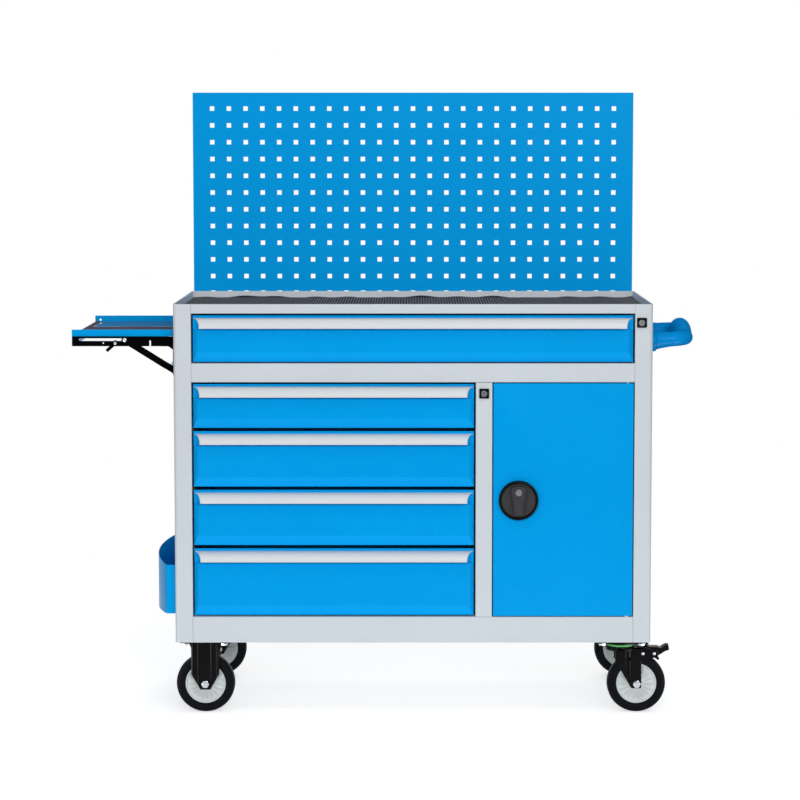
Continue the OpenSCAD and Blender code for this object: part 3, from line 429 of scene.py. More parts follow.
def ribbed_rubber(name, colour, crest, start, pitch, top):
    """Ribbed mat: its tint goes with the cosine of the distance across the ribs, from groove to worn crest,
    and darkens with painted shade where the mat curls up over its top."""
    made = Finish(name, Specular_IOR_Level=0.03)
    across = made.node("ShaderNodeSeparateXYZ")
    made.link(made.place, across.inputs[0])
    turn = made.node("ShaderNodeMath", operation="MULTIPLY_ADD")
    turn.inputs[1].default_value = 2 * math.pi / (pitch * MM)
    turn.inputs[2].default_value = -2 * math.pi * start / pitch
    made.link(across.outputs["X"], turn.inputs[0])
    wave = made.node("ShaderNodeMath", operation="COSINE")
    made.link(turn.outputs[0], wave.inputs[0])
    made.tint(wave.outputs[0], colour, crest, -0.6, 0.9)
    # Painted shade: the colour darkens where the mat's back edge curls up above its top.
    made.darken(made.ranged(across.outputs["Z"], 1.0, 0.25, (top + 0.3) * MM, (top + 1.6) * MM))
    made.darken(made.ranged(made.noise(240.0, 3.0), 0.55, 1.35))
    made.rough(made.noise(70.0), 0.6, 0.78)
    made.bump(made.noise(1100.0, 3.0), 0.00012, 0.5)


def plated(name, colour, low=0.2, high=0.36):
    """Plated metal: crystals of slightly different grey and a bright, uneven gloss."""
    made = Finish(name, Metallic=1.0)
    cells = made.node("ShaderNodeTexVoronoi")
    cells.inputs["Scale"].default_value = 420.0
    made.link(made.place, cells.inputs["Vector"])
    made.tint(cells.outputs["Distance"], shade(colour, 0.86), colour, 0.1, 0.6)
    made.rough(made.noise(240.0), low, high)
    made.bump(made.noise(900.0), 0.00005, 0.4)


def glossy_mat(name, colour, outer, polish):
    """Smooth dark mat with a faint leathery grain, polished in its rear part and worn dull in front
    and along its outer edge. outer and polish are the places of those borders in millimetres."""
    made = Finish(name, IOR=1.13)
    spot = made.node("ShaderNodeSeparateXYZ")
    made.link(made.place, spot.inputs[0])
    both = made.node("ShaderNodeMath", operation="MULTIPLY")
    wander = made.node("ShaderNodeMath", operation="ADD")
    made.link(made.ranged(made.noise(9.0), -20 * MM, 20 * MM, 0.3, 0.7), wander.inputs[0])
    made.link(spot.outputs["Y"], wander.inputs[1])
    made.link(made.ranged(spot.outputs["X"], 0.0, 1.0, (outer + 13) * MM, (outer + 17) * MM), both.inputs[0])
    made.link(made.ranged(wander.outputs[0], 0.0, 1.0, polish * MM, (polish + 14) * MM), both.inputs[1])
    made.link(made.ranged(both.outputs[0], 0.9, 0.04, 0.0, 1.0), made.shader.inputs["Roughness"])
    made.tint(made.noise(26.0, 4.0), shade(colour, 0.8), shade(colour, 1.3))
    made.bump(made.noise(850.0, 2.0), 0.00002, 0.05)


# Sizes and colours that a user would change


def colour_prop(name, about, default):
    """A colour that a user would change."""
    return bpy.props.FloatVectorProperty(name=name, description=about, subtype="COLOR", size=3,
                                         min=0.0, max=1.0, default=default)


def length_prop(name, about, millimetres):
    """A length that a user would change."""
    return bpy.props.FloatProperty(name=name, description=about, unit="LENGTH", subtype="DISTANCE",
                                   min=0.0, default=millimetres * MM)


def count_prop(name, about, count):
    """A number of like details that a user would change."""
    return bpy.props.IntProperty(name=name, description=about, min=4, default=count)


class CartColours(bpy.types.PropertyGroup):
    """Colours of the cart's finishes."""

    cabinet: colour_prop("Cabinet", "Paint of the cabinet's frame", srgb(203, 210, 216))
    front: colour_prop("Fronts", "Paint of the drawers, door, board, shelf and bin", srgb(0, 155, 228))
    handle: colour_prop("Handle", "Plastic of the push handle", srgb(0, 143, 220))
    pull: colour_prop("Pulls", "Skin of the drawer pulls", srgb(216, 220, 224))
    mat: colour_prop("Worktop mat", "Grooves of the worktop mat", srgb(56, 54, 53))
    crest: colour_prop("Worktop mat ribs", "Worn crests of the worktop mat's ribs", srgb(136, 132, 130))
    shelf_mat: colour_prop("Shelf mat", "Polished mat of the side shelf", srgb(84, 80, 96))
    black: colour_prop("Black steel", "Paint of brackets and forks", srgb(6, 6, 7))
    tyre: colour_prop("Tyres", "Rubber of the tyres", srgb(13, 15, 19))
    wheel: colour_prop("Wheel centres", "Plastic of the wheel centres", srgb(208, 214, 214))
    zinc: colour_prop("Zinc", "Plate of bolts, slides and locks", srgb(208, 212, 218))
    nickel: colour_prop("Lock plugs", "Dull plate of the lock plugs", srgb(186, 187, 191))
    dish: colour_prop("Knob", "Plastic of the knob's dish and grip", srgb(58, 57, 60))
    seal: colour_prop("Seals", "Plastic of the casters' seals", srgb(112, 200, 116))


class CartSizes(bpy.types.PropertyGroup):
    """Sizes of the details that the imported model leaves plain."""

    sheet: length_prop("Sheet", "Thickness of the folded sheets", 1.5)
    fold: length_prop("Fold", "Bend radius of the folds, at the middle of the sheet", 1.3)
    seam: length_prop("Seam", "Gap where a rail meets a post", 0.5)
    rib_pitch: length_prop("Mat ribs", "Distance between the ribs of the worktop mat", 6.0)
    rib_height: length_prop("Mat rib height", "Height of the ribs of the worktop mat", 0.7)
    mat_wave: length_prop("Mat wave", "How far the mat's back edge curls up", 5.0)
    knurls: count_prop("Knurls", "Ridges around the knob's rim", 36)
    pleats: count_prop("Pleats", "Radial pleats of a wheel centre", 18)


def sizes():
    """The cart's sizes as they are set."""
    return bpy.context.scene.cart_sizes


def mm_of(prop):
    """A length property in millimetres."""
    return getattr(sizes(), prop) / MM


class CART_OT_finishes(bpy.types.Operator):
    """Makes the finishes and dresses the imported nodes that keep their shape"""

    bl_idname = "cart.finishes"
    bl_label = "Finishes"

    def execute(self, context):
        tone = context.scene.cart_colours
        powder_coat("cabinet_paint", tone.cabinet, 0.36, 0.46)
        # The fronts' last number paints in light from below on slopes that face down.
        powder_coat("front_paint", tone.front, 0.22, 0.3, 0.06, 1.16)
        powder_coat("black_paint", tone.black, 0.16, 0.24, 0.1)
        anodised("drawn_aluminium", tone.pull)
        waxed("handle_plastic", tone.handle)
        moulded("black_plastic", shade(tone.black, 1.2), 0.24, 0.36, specular=0.1)
        moulded("knob_plastic", tone.dish, 0.34, 0.5, specular=0.2)
        moulded("wheel_plastic", tone.wheel, 0.3, 0.42, 900.0, 0.00006)
        moulded("seal_plastic", tone.seal, 0.35, 0.5)
        mat_low, mat_high = box_mm("top_mat")
        mat_width = mat_high[0] - mat_low[0]
        pitch = mat_width / int(mat_width / mm_of("rib_pitch"))
        ribbed_rubber("mat_rubber", tone.mat, tone.crest, mat_low[0], pitch, mat_high[2])
        rubbery("tyre_rubber", tone.tyre, shade(tone.tyre, 1.5), 0.4, 0.52)
        plated("zinc_plate", tone.zinc)
        plated("dull_nickel", tone.nickel, 0.3, 0.45)
        # Painted shade: the slides take zinc darkened to 12 percent, so the gaps around the drawers read
        # dark.
        plated("zinc_darkened_for_shade", shade(tone.zinc, 0.12), 0.5, 0.65)
        glossy_mat("polished_mat", tone.shelf_mat, box_mm("shelf_mat")[0][0], 36)
        dress("cabinet_paint", "side_liners", "back_panel", "base_pan", "centre_partition",
              "divider_deck", "cupboard_shelf", "door_pivot_pins")
        dress("front_paint", "pegboard", "shelf_tray")
        dress("polished_mat", "shelf_mat")
        dress("black_paint", "shelf_wall_brackets", "shelf_arms", "shelf_struts", "shelf_levers",
              "swivel_plates")
        dress("zinc_plate", "latch_cam")
        # The slides take the zinc darkened for painted shade.
        dress("zinc_darkened_for_shade", "cabinet_slides")
        dress("dull_nickel", "upper_lock_plug", "lower_lock_plug", "knob_plug")
        return {"FINISHED"}


class CART_OT_cabinet(bpy.types.Operator):
    """Folds the cabinet's side sheets, rails, post and worktop tray"""

    bl_idname = "cart.cabinet"
    bl_label = "Cabinet sheets"

    def execute(self, context):
        thick, fold, seam = mm_of("sheet"), mm_of("fold"), mm_of("seam")
        low, high = box_mm("right_side_panel")
        rails_low, rails_high = box_mm("front_rails")
        liner_low, liner_high = box_mm("side_liners")
        return_d, hem_w, corner, tray_corner, flange, floor_in = 30, 30, 8.5, 4.5, 40, 30
        back = low[1] + return_d
        half = thick / 2
        for side, sign in (("left", -1), ("right", 1)):
            shape = Shape()
            skin = [(sign * (high[0] - half), high[1]), (sign * (high[0] - half), low[1] + half),
                    (sign * low[0], low[1] + half)]
            along(shape, sheet_loop(skin, corner - half, thick), 2, (low[2], high[2]))
            lip = [(sign * (low[0] + half), low[1] + half), (sign * (low[0] + half), back)]
            along(shape, sheet_loop(lip, fold, thick), 2, (liner_low[2], liner_high[2]))
            hem = [(sign * (high[0] - half), high[1] - half), (sign * (high[0] - hem_w), high[1] - half)]
            along(shape, sheet_loop(hem, fold, thick), 2, (liner_low[2], liner_high[2]))
            make_piece(side + "_side_sheet", shape, "cabinet", "cabinet_paint",
                       [side + "_side_panel"])
        face = low[1] + half
        post_low, post_high = box_mm("centre_post")
        deck = box_mm("divider_deck")[1][2]
        tray_low, tray_high = box_mm("top_tray")
        run = (rails_low[0] + seam, rails_high[0] - seam)
        shape = Shape()
        rail = tray_low[2] - thick
        foot = post_low[2] - half
        low_edge, high_edge = post_high[2] + half, deck - half
        for line in ([(face, high[2]), (face, rail + half), (back, rail + half)],
                     [(back, low_edge), (face, low_edge), (face, high_edge), (back, high_edge)],
                     [(face, low[2]), (face, foot), (back, foot)]):
            along(shape, sheet_loop(line, fold, thick), 0, run)
        make_piece("rail_sheets", shape, "cabinet", "cabinet_paint", ["front_rails"])
        shape = Shape()
        left, right = post_low[0] + half, post_high[0] - half
        along(shape, sheet_loop([(left, back), (left, face), (right, face), (right, back)], fold, thick),
              2, (post_low[2] + seam, post_high[2] - seam))
        make_piece("post_sheet", shape, "cabinet", "cabinet_paint", ["centre_post"])
        shape = Shape()
        # The tray's wall is a bent sheet's outline carried round the rim.
        wall = sheet_loop([(-flange, tray_low[2] + half), (-half, tray_low[2] + half),
                           (-half, tray_high[2])], fold, thick)
        path = box_loop(tray_low[:2], tray_high[:2], tray_corner)
        step = np.roll(path, -1, 0) - np.roll(path, 1, 0)
        out = np.stack([step[:, 1], -step[:, 0], 0 * step[:, 0]], -1)
        out /= np.linalg.norm(out, axis=1)[:, None]
        origins = np.concatenate([path, 0 * path[:, :1]], 1)
        up = np.broadcast_to((0, 0, 1.0), out.shape)
        shape.grid(carry(wall, origins, out, up), wrap_rows=True, wrap_cols=True)
        floor = box_loop(tray_low[:2] + floor_in, tray_high[:2] - floor_in, tray_corner)
        along(shape, floor, 2, (tray_low[2] + 0.1, tray_low[2] + thick - 0.1))
        make_piece("worktop_tray", shape, "cabinet", "cabinet_paint", ["top_tray"])
        return {"FINISHED"}


class CART_OT_worktop_mat(bpy.types.Operator):
    """Lays the ribbed rubber mat in the worktop"""

    bl_idname = "cart.worktop_mat"
    bl_label = "Worktop mat"

    def execute(self, context):
        low, high = box_mm("top_mat")
        pitch, rib, wave = mm_of("rib_pitch"), mm_of("rib_height"), mm_of("mat_wave")
        count = int((high[0] - low[0]) / pitch)
        x = np.linspace(low[0], high[0], 6 * count + 1)[None, :]
        flat_end, curl = high[1] - 90, 80
        flat_rows = np.linspace(low[1], flat_end, 8)
        curl_rows = np.linspace(high[1] - curl, high[1], 17)
        y = np.concatenate([flat_rows, curl_rows])[:, None]
        # A rib is a raised cosine of the way across, to the power 0.6. The back edge curls up with the
        # fourth power of the way along its last rows, times a sum of three sines.
        ridge = rib * (0.5 + 0.5 * np.cos(2 * math.pi * (x - low[0]) / (high[0] - low[0]) * count)) ** 0.6
        share = np.clip((y - high[1] + curl) / curl, 0, 1)
        ripple = np.sin(x / 13.0) + np.sin(x / 29.0 + 1.3) + np.sin(x / 71.0 + 0.4)
        hump = np.clip(ripple + 1.2, 0.3, None) / 4
        lift = wave * share ** 4 * hump
        top = high[2] - rib + ridge + lift
        under = low[2] + 0.9 * lift + 0 * x
        pair = [np.stack(np.broadcast_arrays(x, y, z), -1) for z in (top, under)]
        shape = Shape()
        for points in pair:
            shape.grid(points)
        for edge in (np.s_[0], np.s_[-1], np.s_[:, 0], np.s_[:, -1]):
            shape.grid(np.stack([points[edge] for points in pair]))
        make_piece("worktop_rubber", shape, "cabinet", "mat_rubber", ["top_mat"], 50)
        return {"FINISHED"}


def soft_least(a, b, round_off):
    """The lesser of two heights with the crease between them rounded: their mean less half of
    sqrt(d * d + r * r), for their difference d."""
    return (a + b - np.sqrt((a - b) ** 2 + round_off ** 2)) / 2


def drawer_front(shape, low, high, face, band, back, bottom_bevel, side_bevel, step_z, gap_in=1.2):
    """Pressed front: its depth over the edge plane is the soft least of a ramp from the lower edge,
    a ramp from either side and the depth of the press, and it stops at the step under the pull."""
    x0, x1, z0, z1 = low[0] + gap_in, high[0] - gap_in, low[2], high[2] - gap_in
    depth = band - face
    margin = np.concatenate([np.linspace(0, side_bevel + 4, 19), [40.0, 110.0]])
    x = np.concatenate([x0 + margin, x1 - margin[::-1]])[None, :]
    rise = np.concatenate([np.linspace(0, 1.4, 4), np.linspace(2, bottom_bevel + 4, 25)])
    z = np.concatenate([z0 + rise, np.linspace(z0 + bottom_bevel + 10, step_z - 2.4, 4),
                        np.linspace(step_z - 2, step_z, 7)])[:, None]
    side = np.minimum(x - x0, x1 - x) / side_bevel * depth
    lower = (z - z0) / bottom_bevel * depth
    press = soft_least(soft_least(side, lower, 0.5), depth + 0 * (x + z), 0.5)
    near_top = np.clip((step_z - z) / 2, 0, 1)
    press = np.clip(press, 0, None) - 1.6 * (1 - np.sqrt(1 - (1 - near_top) ** 2))
    skin = np.stack(np.broadcast_arrays(x, band - press, z), -1)
    shelf = skin[-1].copy()
    shelf[:, 1] = band
    lip = shelf + (0, 0, z1 - step_z)
    top = lip.copy()
    top[:, 1] = back
    foot = skin[0].copy()
    foot[:, 1] = back
    points = np.concatenate([foot[None], skin, shelf[None], lip[None], top[None]])
    shape.grid(points, wrap_rows=True, cap_cols=True)


class CART_OT_drawers(bpy.types.Operator):
    """Presses the drawer fronts and folds the boxes and runners behind them"""

    bl_idname = "cart.drawers"
    bl_label = "Drawers"

    def execute(self, context):
        thick, fold = mm_of("sheet"), mm_of("fold")
        half = thick / 2
        relief, bottom_bevel, side_bevel, gap, slide = 9, 21, 10, 3, 13
        floor_up, slide_up, slide_h, play, pull_step = 6, 12, 36, 0.3, 5
        for name in DRAWERS:
            low, high = box_mm(name)
            pull_low, pull_high = box_mm(name + "_pull")
            slide_low = low[0] - gap + thick + 1
            face, band, back = low[1], low[1] + relief, low[1] + relief + thick
            shape = Shape()
            drawer_front(shape, low, high, face, band, back, bottom_bevel, side_bevel,
                         pull_low[2] - pull_step)
            left, right = low[0] - gap + slide + half, high[0] + gap - slide - half
            floor, rim = low[2] + floor_up + half, pull_high[2] - thick
            along(shape, sheet_loop([(left, rim), (left, floor), (right, floor), (right, rim)], fold, thick),
                  1, (back + 0.2, high[1] - thick - 0.2))
            for y in (back + half, high[1] - half):
                along(shape, box_loop((left - half, floor - half), (right + half, rim), 1.0), 1,
                      (y - half, y + half))
            base = low[2] + floor_up + slide_up + thick + play + half
            crest = low[2] + floor_up + slide_up + slide_h - thick - play - half
            for wall, inner in ((left - thick, slide_low), (right + thick, high[0] + gap - thick - 1)):
                runner = [(inner, base), (wall, base), (wall, crest), (inner, crest)]
                along(shape, sheet_loop(runner, 1.2, thick), 1, (back + thick, high[1]))
            make_piece(name + "_shell", shape, name, "front_paint", [name], 24)
        return {"FINISHED"}


class CART_OT_pulls(bpy.types.Operator):
    """Draws the hooded drawer pulls with their slanted ends"""

    bl_idname = "cart.pulls"
    bl_label = "Drawer pulls"

    def execute(self, context):
        wall, cut = 2.0, 13.0
        for name in DRAWERS:
            low, high = box_mm(name + "_pull")
            reach = high[2] - low[2]
            hub = np.array([low[1] + reach, low[2]])
            # A quarter circle from the rear edge down to the lip and back inside it. The ends slant: the
            # inset grows evenly from the rear edge to the lip.
            lip = np.array([(0, -1.2), (0.7, -2.0), (2.0, -2.0), (2.8, -1.0)]) + (low[1], hub[1])
            loop = np.concatenate([[(high[1], high[2])], arc(hub, reach, 90, 180, 22), lip,
                                   arc(hub, reach - wall, 176, 90, 18), [(high[1], high[2] - wall)]])
            inset = cut * (high[1] - loop[:, 0]) / (high[1] - low[1])
            ends = np.stack([low[0] + inset, high[0] - inset])
            points = np.stack(np.broadcast_arrays(ends, loop[:, 0], loop[:, 1]), -1)
            shape = Shape()
            shape.grid(points, wrap_cols=True, cap_rows=True)
            flange = box_loop((high[1] - wall, hub[1] + reach / 2), (high[1], high[2] - wall / 2), 0.4)
            along(shape, flange, 0, (low[0] + cut, high[0] - cut))
            make_piece(name + "_hood", shape, name, "drawn_aluminium",
                       [name + "_pull"], 28)
        return {"FINISHED"}


class CART_OT_door(bpy.types.Operator):
    """Folds the cupboard door's pan"""

    bl_idname = "cart.door"
    bl_label = "Cupboard door"

    def execute(self, context):
        low, high = box_mm("door_panel")
        thick = mm_of("sheet")
        bend = 2.5
        loop = box_loop((low[0], low[2]), (high[0], high[2]), bend)
        centre = np.array([(low[0] + high[0]) / 2, (low[2] + high[2]) / 2])
        inset = np.sign(loop - centre)
        # Copies of the outline run from the face round a quarter circle to the rear edge and back inside,
        # each at a depth and moved in by a shrink.
        angle = np.radians(np.linspace(0, 90, 6))
        depth = np.concatenate([low[1] + bend * (1 - np.sin(angle[::-1])), [high[1]], [high[1]],
                                [low[1] + bend], low[1] + bend - (bend - thick) * np.sin(angle[1:])])
        shrink = np.concatenate([bend * (1 - np.cos(angle[::-1])), [0.0], [thick], [thick],
                                 bend - (bend - thick) * np.cos(angle[1:])])
        x = loop[None, :, 0] - shrink[:, None] * inset[None, :, 0]
        z = loop[None, :, 1] - shrink[:, None] * inset[None, :, 1]
        y = np.broadcast_to(depth[:, None], x.shape)
        shape = Shape()
        shape.grid(np.stack([x, y, z], -1), wrap_cols=True, cap_rows=True)
        make_piece("door_pan", shape, "door", "front_paint", ["door_panel"])
        return {"FINISHED"}


class CART_OT_knob(bpy.types.Operator):
    """Turns the knob's knurled rim, its dish and its tapered grip"""

    bl_idname = "cart.knob"
    bl_label = "Knob"

    def execute(self, context):
        low, high = box_mm("knob_housing")
        x, z = (low[0] + high[0]) / 2, (low[2] + high[2]) / 2
        reach, radius = high[1] - low[1], (high[0] - low[0]) / 2
        count = sizes().knurls

        def knurl(r, h, angle):
            """Lowers the rim by 1.1 mm times the half of 1 + cos(count * angle), near its edge only."""
            ridge = np.clip((r - radius + 2.5) / 2.0, 0, 1) * 0.5 * (1 + np.cos(count * angle))
            return r - 1.1 * ridge, h

        rim = radius - 6
        profile = [(6.2, 0), (radius - 1, 0), (radius, 0.8), (radius, reach - 4), (radius - 0.6, reach - 2.4),
                   (radius - 1.8, reach - 0.9), (radius - 3.2, reach - 0.2), (radius - 4.4, reach),
                   (rim + 0.9, reach - 0.5), (rim + 0.4, reach - 1.4), (rim + 0.3, 2.0), (6.2, 2.0)]
        shape = Shape()
        points = faced(turned(profile, 8 * count, knurl), (x, high[1], z), "-Y")
        shape.grid(points, wrap_rows=True, wrap_cols=True)
        make_piece("knob_rim", shape, "door", "black_plastic", ["knob_housing"])
        grip_low, grip_high = box_mm("knob_grip")
        base = high[1] - 2.3
        front = base - grip_low[1]
        dish = [(0.5, 0), (rim - 0.4, 0), (rim, 0.5), (rim, 3.4), (rim - 0.6, 4.0), (rim - 2.2, 4.0),
                (rim - 3.0, 3.5), (20, 2.6), (0.5, 2.4)]
        shape = Shape()
        round_body(shape, dish, 96, (x, base, z), "-Y")
        end = grip_high[1] - base
        spindle = [(6.0, 0), (6.0, end - 6), (10.0, end - 6), (10.0, end)]
        round_body(shape, spindle, 48, (x, base - 0.1, z), "+Y")
        # The grip is its outline carried forwards, drawn in towards its middle at each level.
        foot, tail, brow, wide = -31.0, 8.5, 24.0, 16.3
        top = arc((0, -9.5), 40.5, 66, 114, 12)
        outline = np.concatenate([[(-tail, foot), (tail, foot), (wide, brow)], top[1:-1], [(-wide, brow)]])
        loop = filleted(outline, 1.0, 3, closed=True)
        levels = [(-0.6, 2.0), (0.0, 4.2), (0.2, front - 1.8), (0.8, front - 0.7), (2.2, front),
                  (4.2, front - 0.1), (5.0, front - 0.9)]
        rings = []
        for ring, height in scaled_stack(loop, np.array([0.0, 0.0]), levels):
            rings.append(np.stack([x + ring[:, 0], 0 * ring[:, 0] + base - height, z + ring[:, 1]], -1))
        shape.grid(np.stack(rings), wrap_cols=True, cap_rows=True)
        make_piece("knob_dish", shape, "knob", "knob_plastic", ["knob_grip"], 28)
        return {"FINISHED"}


class CART_OT_locks(bpy.types.Operator):
    """Shapes the square lock rims with their barrels"""

    bl_idname = "cart.locks"
    bl_label = "Locks"

    def execute(self, context):
        shape = Shape()
        face = box_mm("centre_post")[0][1]
        half, corner, plug_r, play, barrel_r, depth = 10.5, 2.2, 6.5, 0.1, 9.0, 22.0
        loop = box_loop((-half, -half), (half, half), corner)
        loop = loop[np.argsort(np.arctan2(loop[:, 1], loop[:, 0]))]
        circle = loop / np.linalg.norm(loop, axis=1)[:, None]
        hole, barrel = (plug_r + play) * circle, barrel_r * circle
        for plug in ("upper_lock_plug", "lower_lock_plug"):
            low, high = box_mm(plug)
            x, z = (low[0] + high[0]) / 2, high[2] - plug_r
            # Rings run from the hole's rear end over the square rim and back along the barrel.
            rings = [(hole, depth), (hole, -3.0), (hole * 1.08, -3.4), (loop * 0.86, -4.0),
                     (loop * 0.96, -3.4), (loop, -2.4), (loop, 0.0), (barrel, 0.0), (barrel, depth)]
            points = [np.stack([x + r[:, 0], face + d + 0 * r[:, 0], z + r[:, 1]], -1) for r, d in rings]
            shape.grid(np.stack(points), wrap_rows=True, wrap_cols=True)
        make_piece("lock_rims", shape, "cabinet", "black_plastic", ["lock_bodies"])
        return {"FINISHED"}


class CART_OT_handle(bpy.types.Operator):
    """Sweeps the push handle from foot to foot.

    The path leaves the wall, turns through a quarter circle and runs along the side. Between the bends its
    height follows three arcs that meet without a kink: a flank that curves up, a crest and a flank again."""

    bl_idname = "cart.handle"
    bl_label = "Push handle"

    def execute(self, context):
        low, high = box_mm("push_handle")
        wall, out = low[0], high[0]
        bar, bend, flank, rise, bow, fullness = 16.0, 35.0, 100.0, 5.0, 18.0, 3.0
        span = (high[1] - low[1]) / 2 - FOOT_R
        tip, straight = out - bar, span - bend
        turn = 2 * math.atan(bow / straight)
        crest = straight / math.sin(turn) - flank
        lead = np.array([0, 6, 12.2, 13.2, 13.8, 14.1, 14.6, 16, 19, 24, 30, 36, 42])
        spots = np.linspace(straight, 0, 24, endpoint=False)[1:]
        half_path = np.concatenate([np.stack([wall + lead, 0 * lead + span], -1),
                                    arc((tip - bend, straight), bend, 90, 0, 18),
                                    np.stack([0 * spots + tip, spots], -1), [(tip, 0.5)]])
        path = np.concatenate([half_path, half_path[::-1] * (1, -1)])
        run, off = path[:, 0] - wall, np.minimum(np.abs(path[:, 1]), straight)
        lift = np.where(off < crest * math.sin(turn),
                        bow - crest + np.sqrt(np.maximum(crest ** 2 - off ** 2, 0)),
                        flank - np.sqrt(np.maximum(flank ** 2 - (straight - off) ** 2, 0)))
        swell = np.interp(run, [0, 12.2, 13.2, 13.8, 14.1, 14.6, 16, 24, 46],
                          [FOOT_R, FOOT_R, 23.5, 22.6, 21.6, 20.8, 20.2, 18.6, bar])
        plump = fullness * (1 - (off / straight) ** 2)
        height = low[2] + FOOT_R + rise * run / (tip - wall) + lift - plump
        origins = np.concatenate([path, height[:, None]], 1)
        step = np.gradient(origins, axis=0)
        step[0], step[-1] = (1, 0, 0), (-1, 0, 0)
        step /= np.linalg.norm(step, axis=1)[:, None]
        side = np.stack([step[:, 1], -step[:, 0], 0 * step[:, 0]], -1)
        side /= np.linalg.norm(side, axis=1)[:, None]
        up = np.cross(side, step)
        angle = np.linspace(0, 2 * math.pi, 40, endpoint=False)
        loop = np.stack([np.cos(angle), np.sin(angle)], -1)[None] * (swell + plump)[:, None, None]
        shape = Shape()
        shape.grid(carry(loop, origins, side, up), wrap_cols=True, cap_rows=True)
        make_piece("handle_moulding", shape, "cabinet", "handle_plastic",
                   ["push_handle"], 50)
        return {"FINISHED"}


class CART_OT_bin(bpy.types.Operator):
    """Folds the bow-fronted side bin with its sloping rim"""

    bl_idname = "cart.bin"
    bl_label = "Side bin"

    def execute(self, context):
        low, high = box_mm("side_bin")
        thick = mm_of("sheet")
        length, end_w, mid_w, rise = high[1] - low[1], 20.0, high[0] - low[0], 31.0
        # The front is an arc over the length: its radius is (length ^ 2 / 4 + bow ^ 2) / (2 * bow). The rim
        # rises evenly from front to rear.
        bow = mid_w - end_w
        radius = (length ** 2 / 4 + bow ** 2) / (2 * bow)
        half_angle = math.degrees(math.asin(length / 2 / radius))
        curve = arc((radius - mid_w, length / 2), radius, 180 + half_angle, 180 - half_angle, 24)
        corners = np.concatenate([[(0.0, 0.0)], curve, [(0.0, length)]])
        soft = np.concatenate([[1.0, 4.0], np.full(len(curve) - 2, 0.01), [4.0, 1.0]])
        loop = filleted(corners, soft, 4, closed=True)
        step = np.roll(loop, -1, 0) - np.roll(loop, 1, 0)
        out = np.stack([-step[:, 1], step[:, 0]], -1)
        out /= np.linalg.norm(out, axis=1)[:, None]
        if np.mean(np.sum(out * (loop - loop.mean(0)), 1)) < 0:
            out = -out
        top = high[2] - low[2] - rise + rise * loop[:, 1] / length
        rings = [(0.8, 0 * top), (0.0, 0 * top + 0.8), (0.0, top - 0.8), (0.3, top - 0.2), (thick / 2, top),
                 (thick - 0.3, top - 0.2), (thick, top - 0.8), (thick, 0 * top + thick)]
        points = []
        for inset, height in rings:
            ring = loop - out * inset
            points.append(np.stack([high[0] + ring[:, 0], low[1] + ring[:, 1], low[2] + height], -1))
        shape = Shape()
        shape.grid(np.stack(points), wrap_cols=True, cap_rows=True)
        make_piece("bin_shell", shape, "cabinet", "front_paint", ["side_bin"], 40)
        return {"FINISHED"}


def hex_heads(shape, centres, axis, radius=7.5, height=5.0, washer=True):
    """Copies of one chamfered hexagon head, with a washer under each, at many places."""
    head = hex_grid(radius, height)
    for at in centres:
        shape.grid(faced(head, at, axis), wrap_rows=True, cap_cols=True)
        if washer:
            ring = [(radius + 1.6, 0), (radius + 1.6, 0.6), (radius + 1.2, 0.9), (BOLT_R, 0.9)]
            round_body(shape, ring, 32, at, axis)


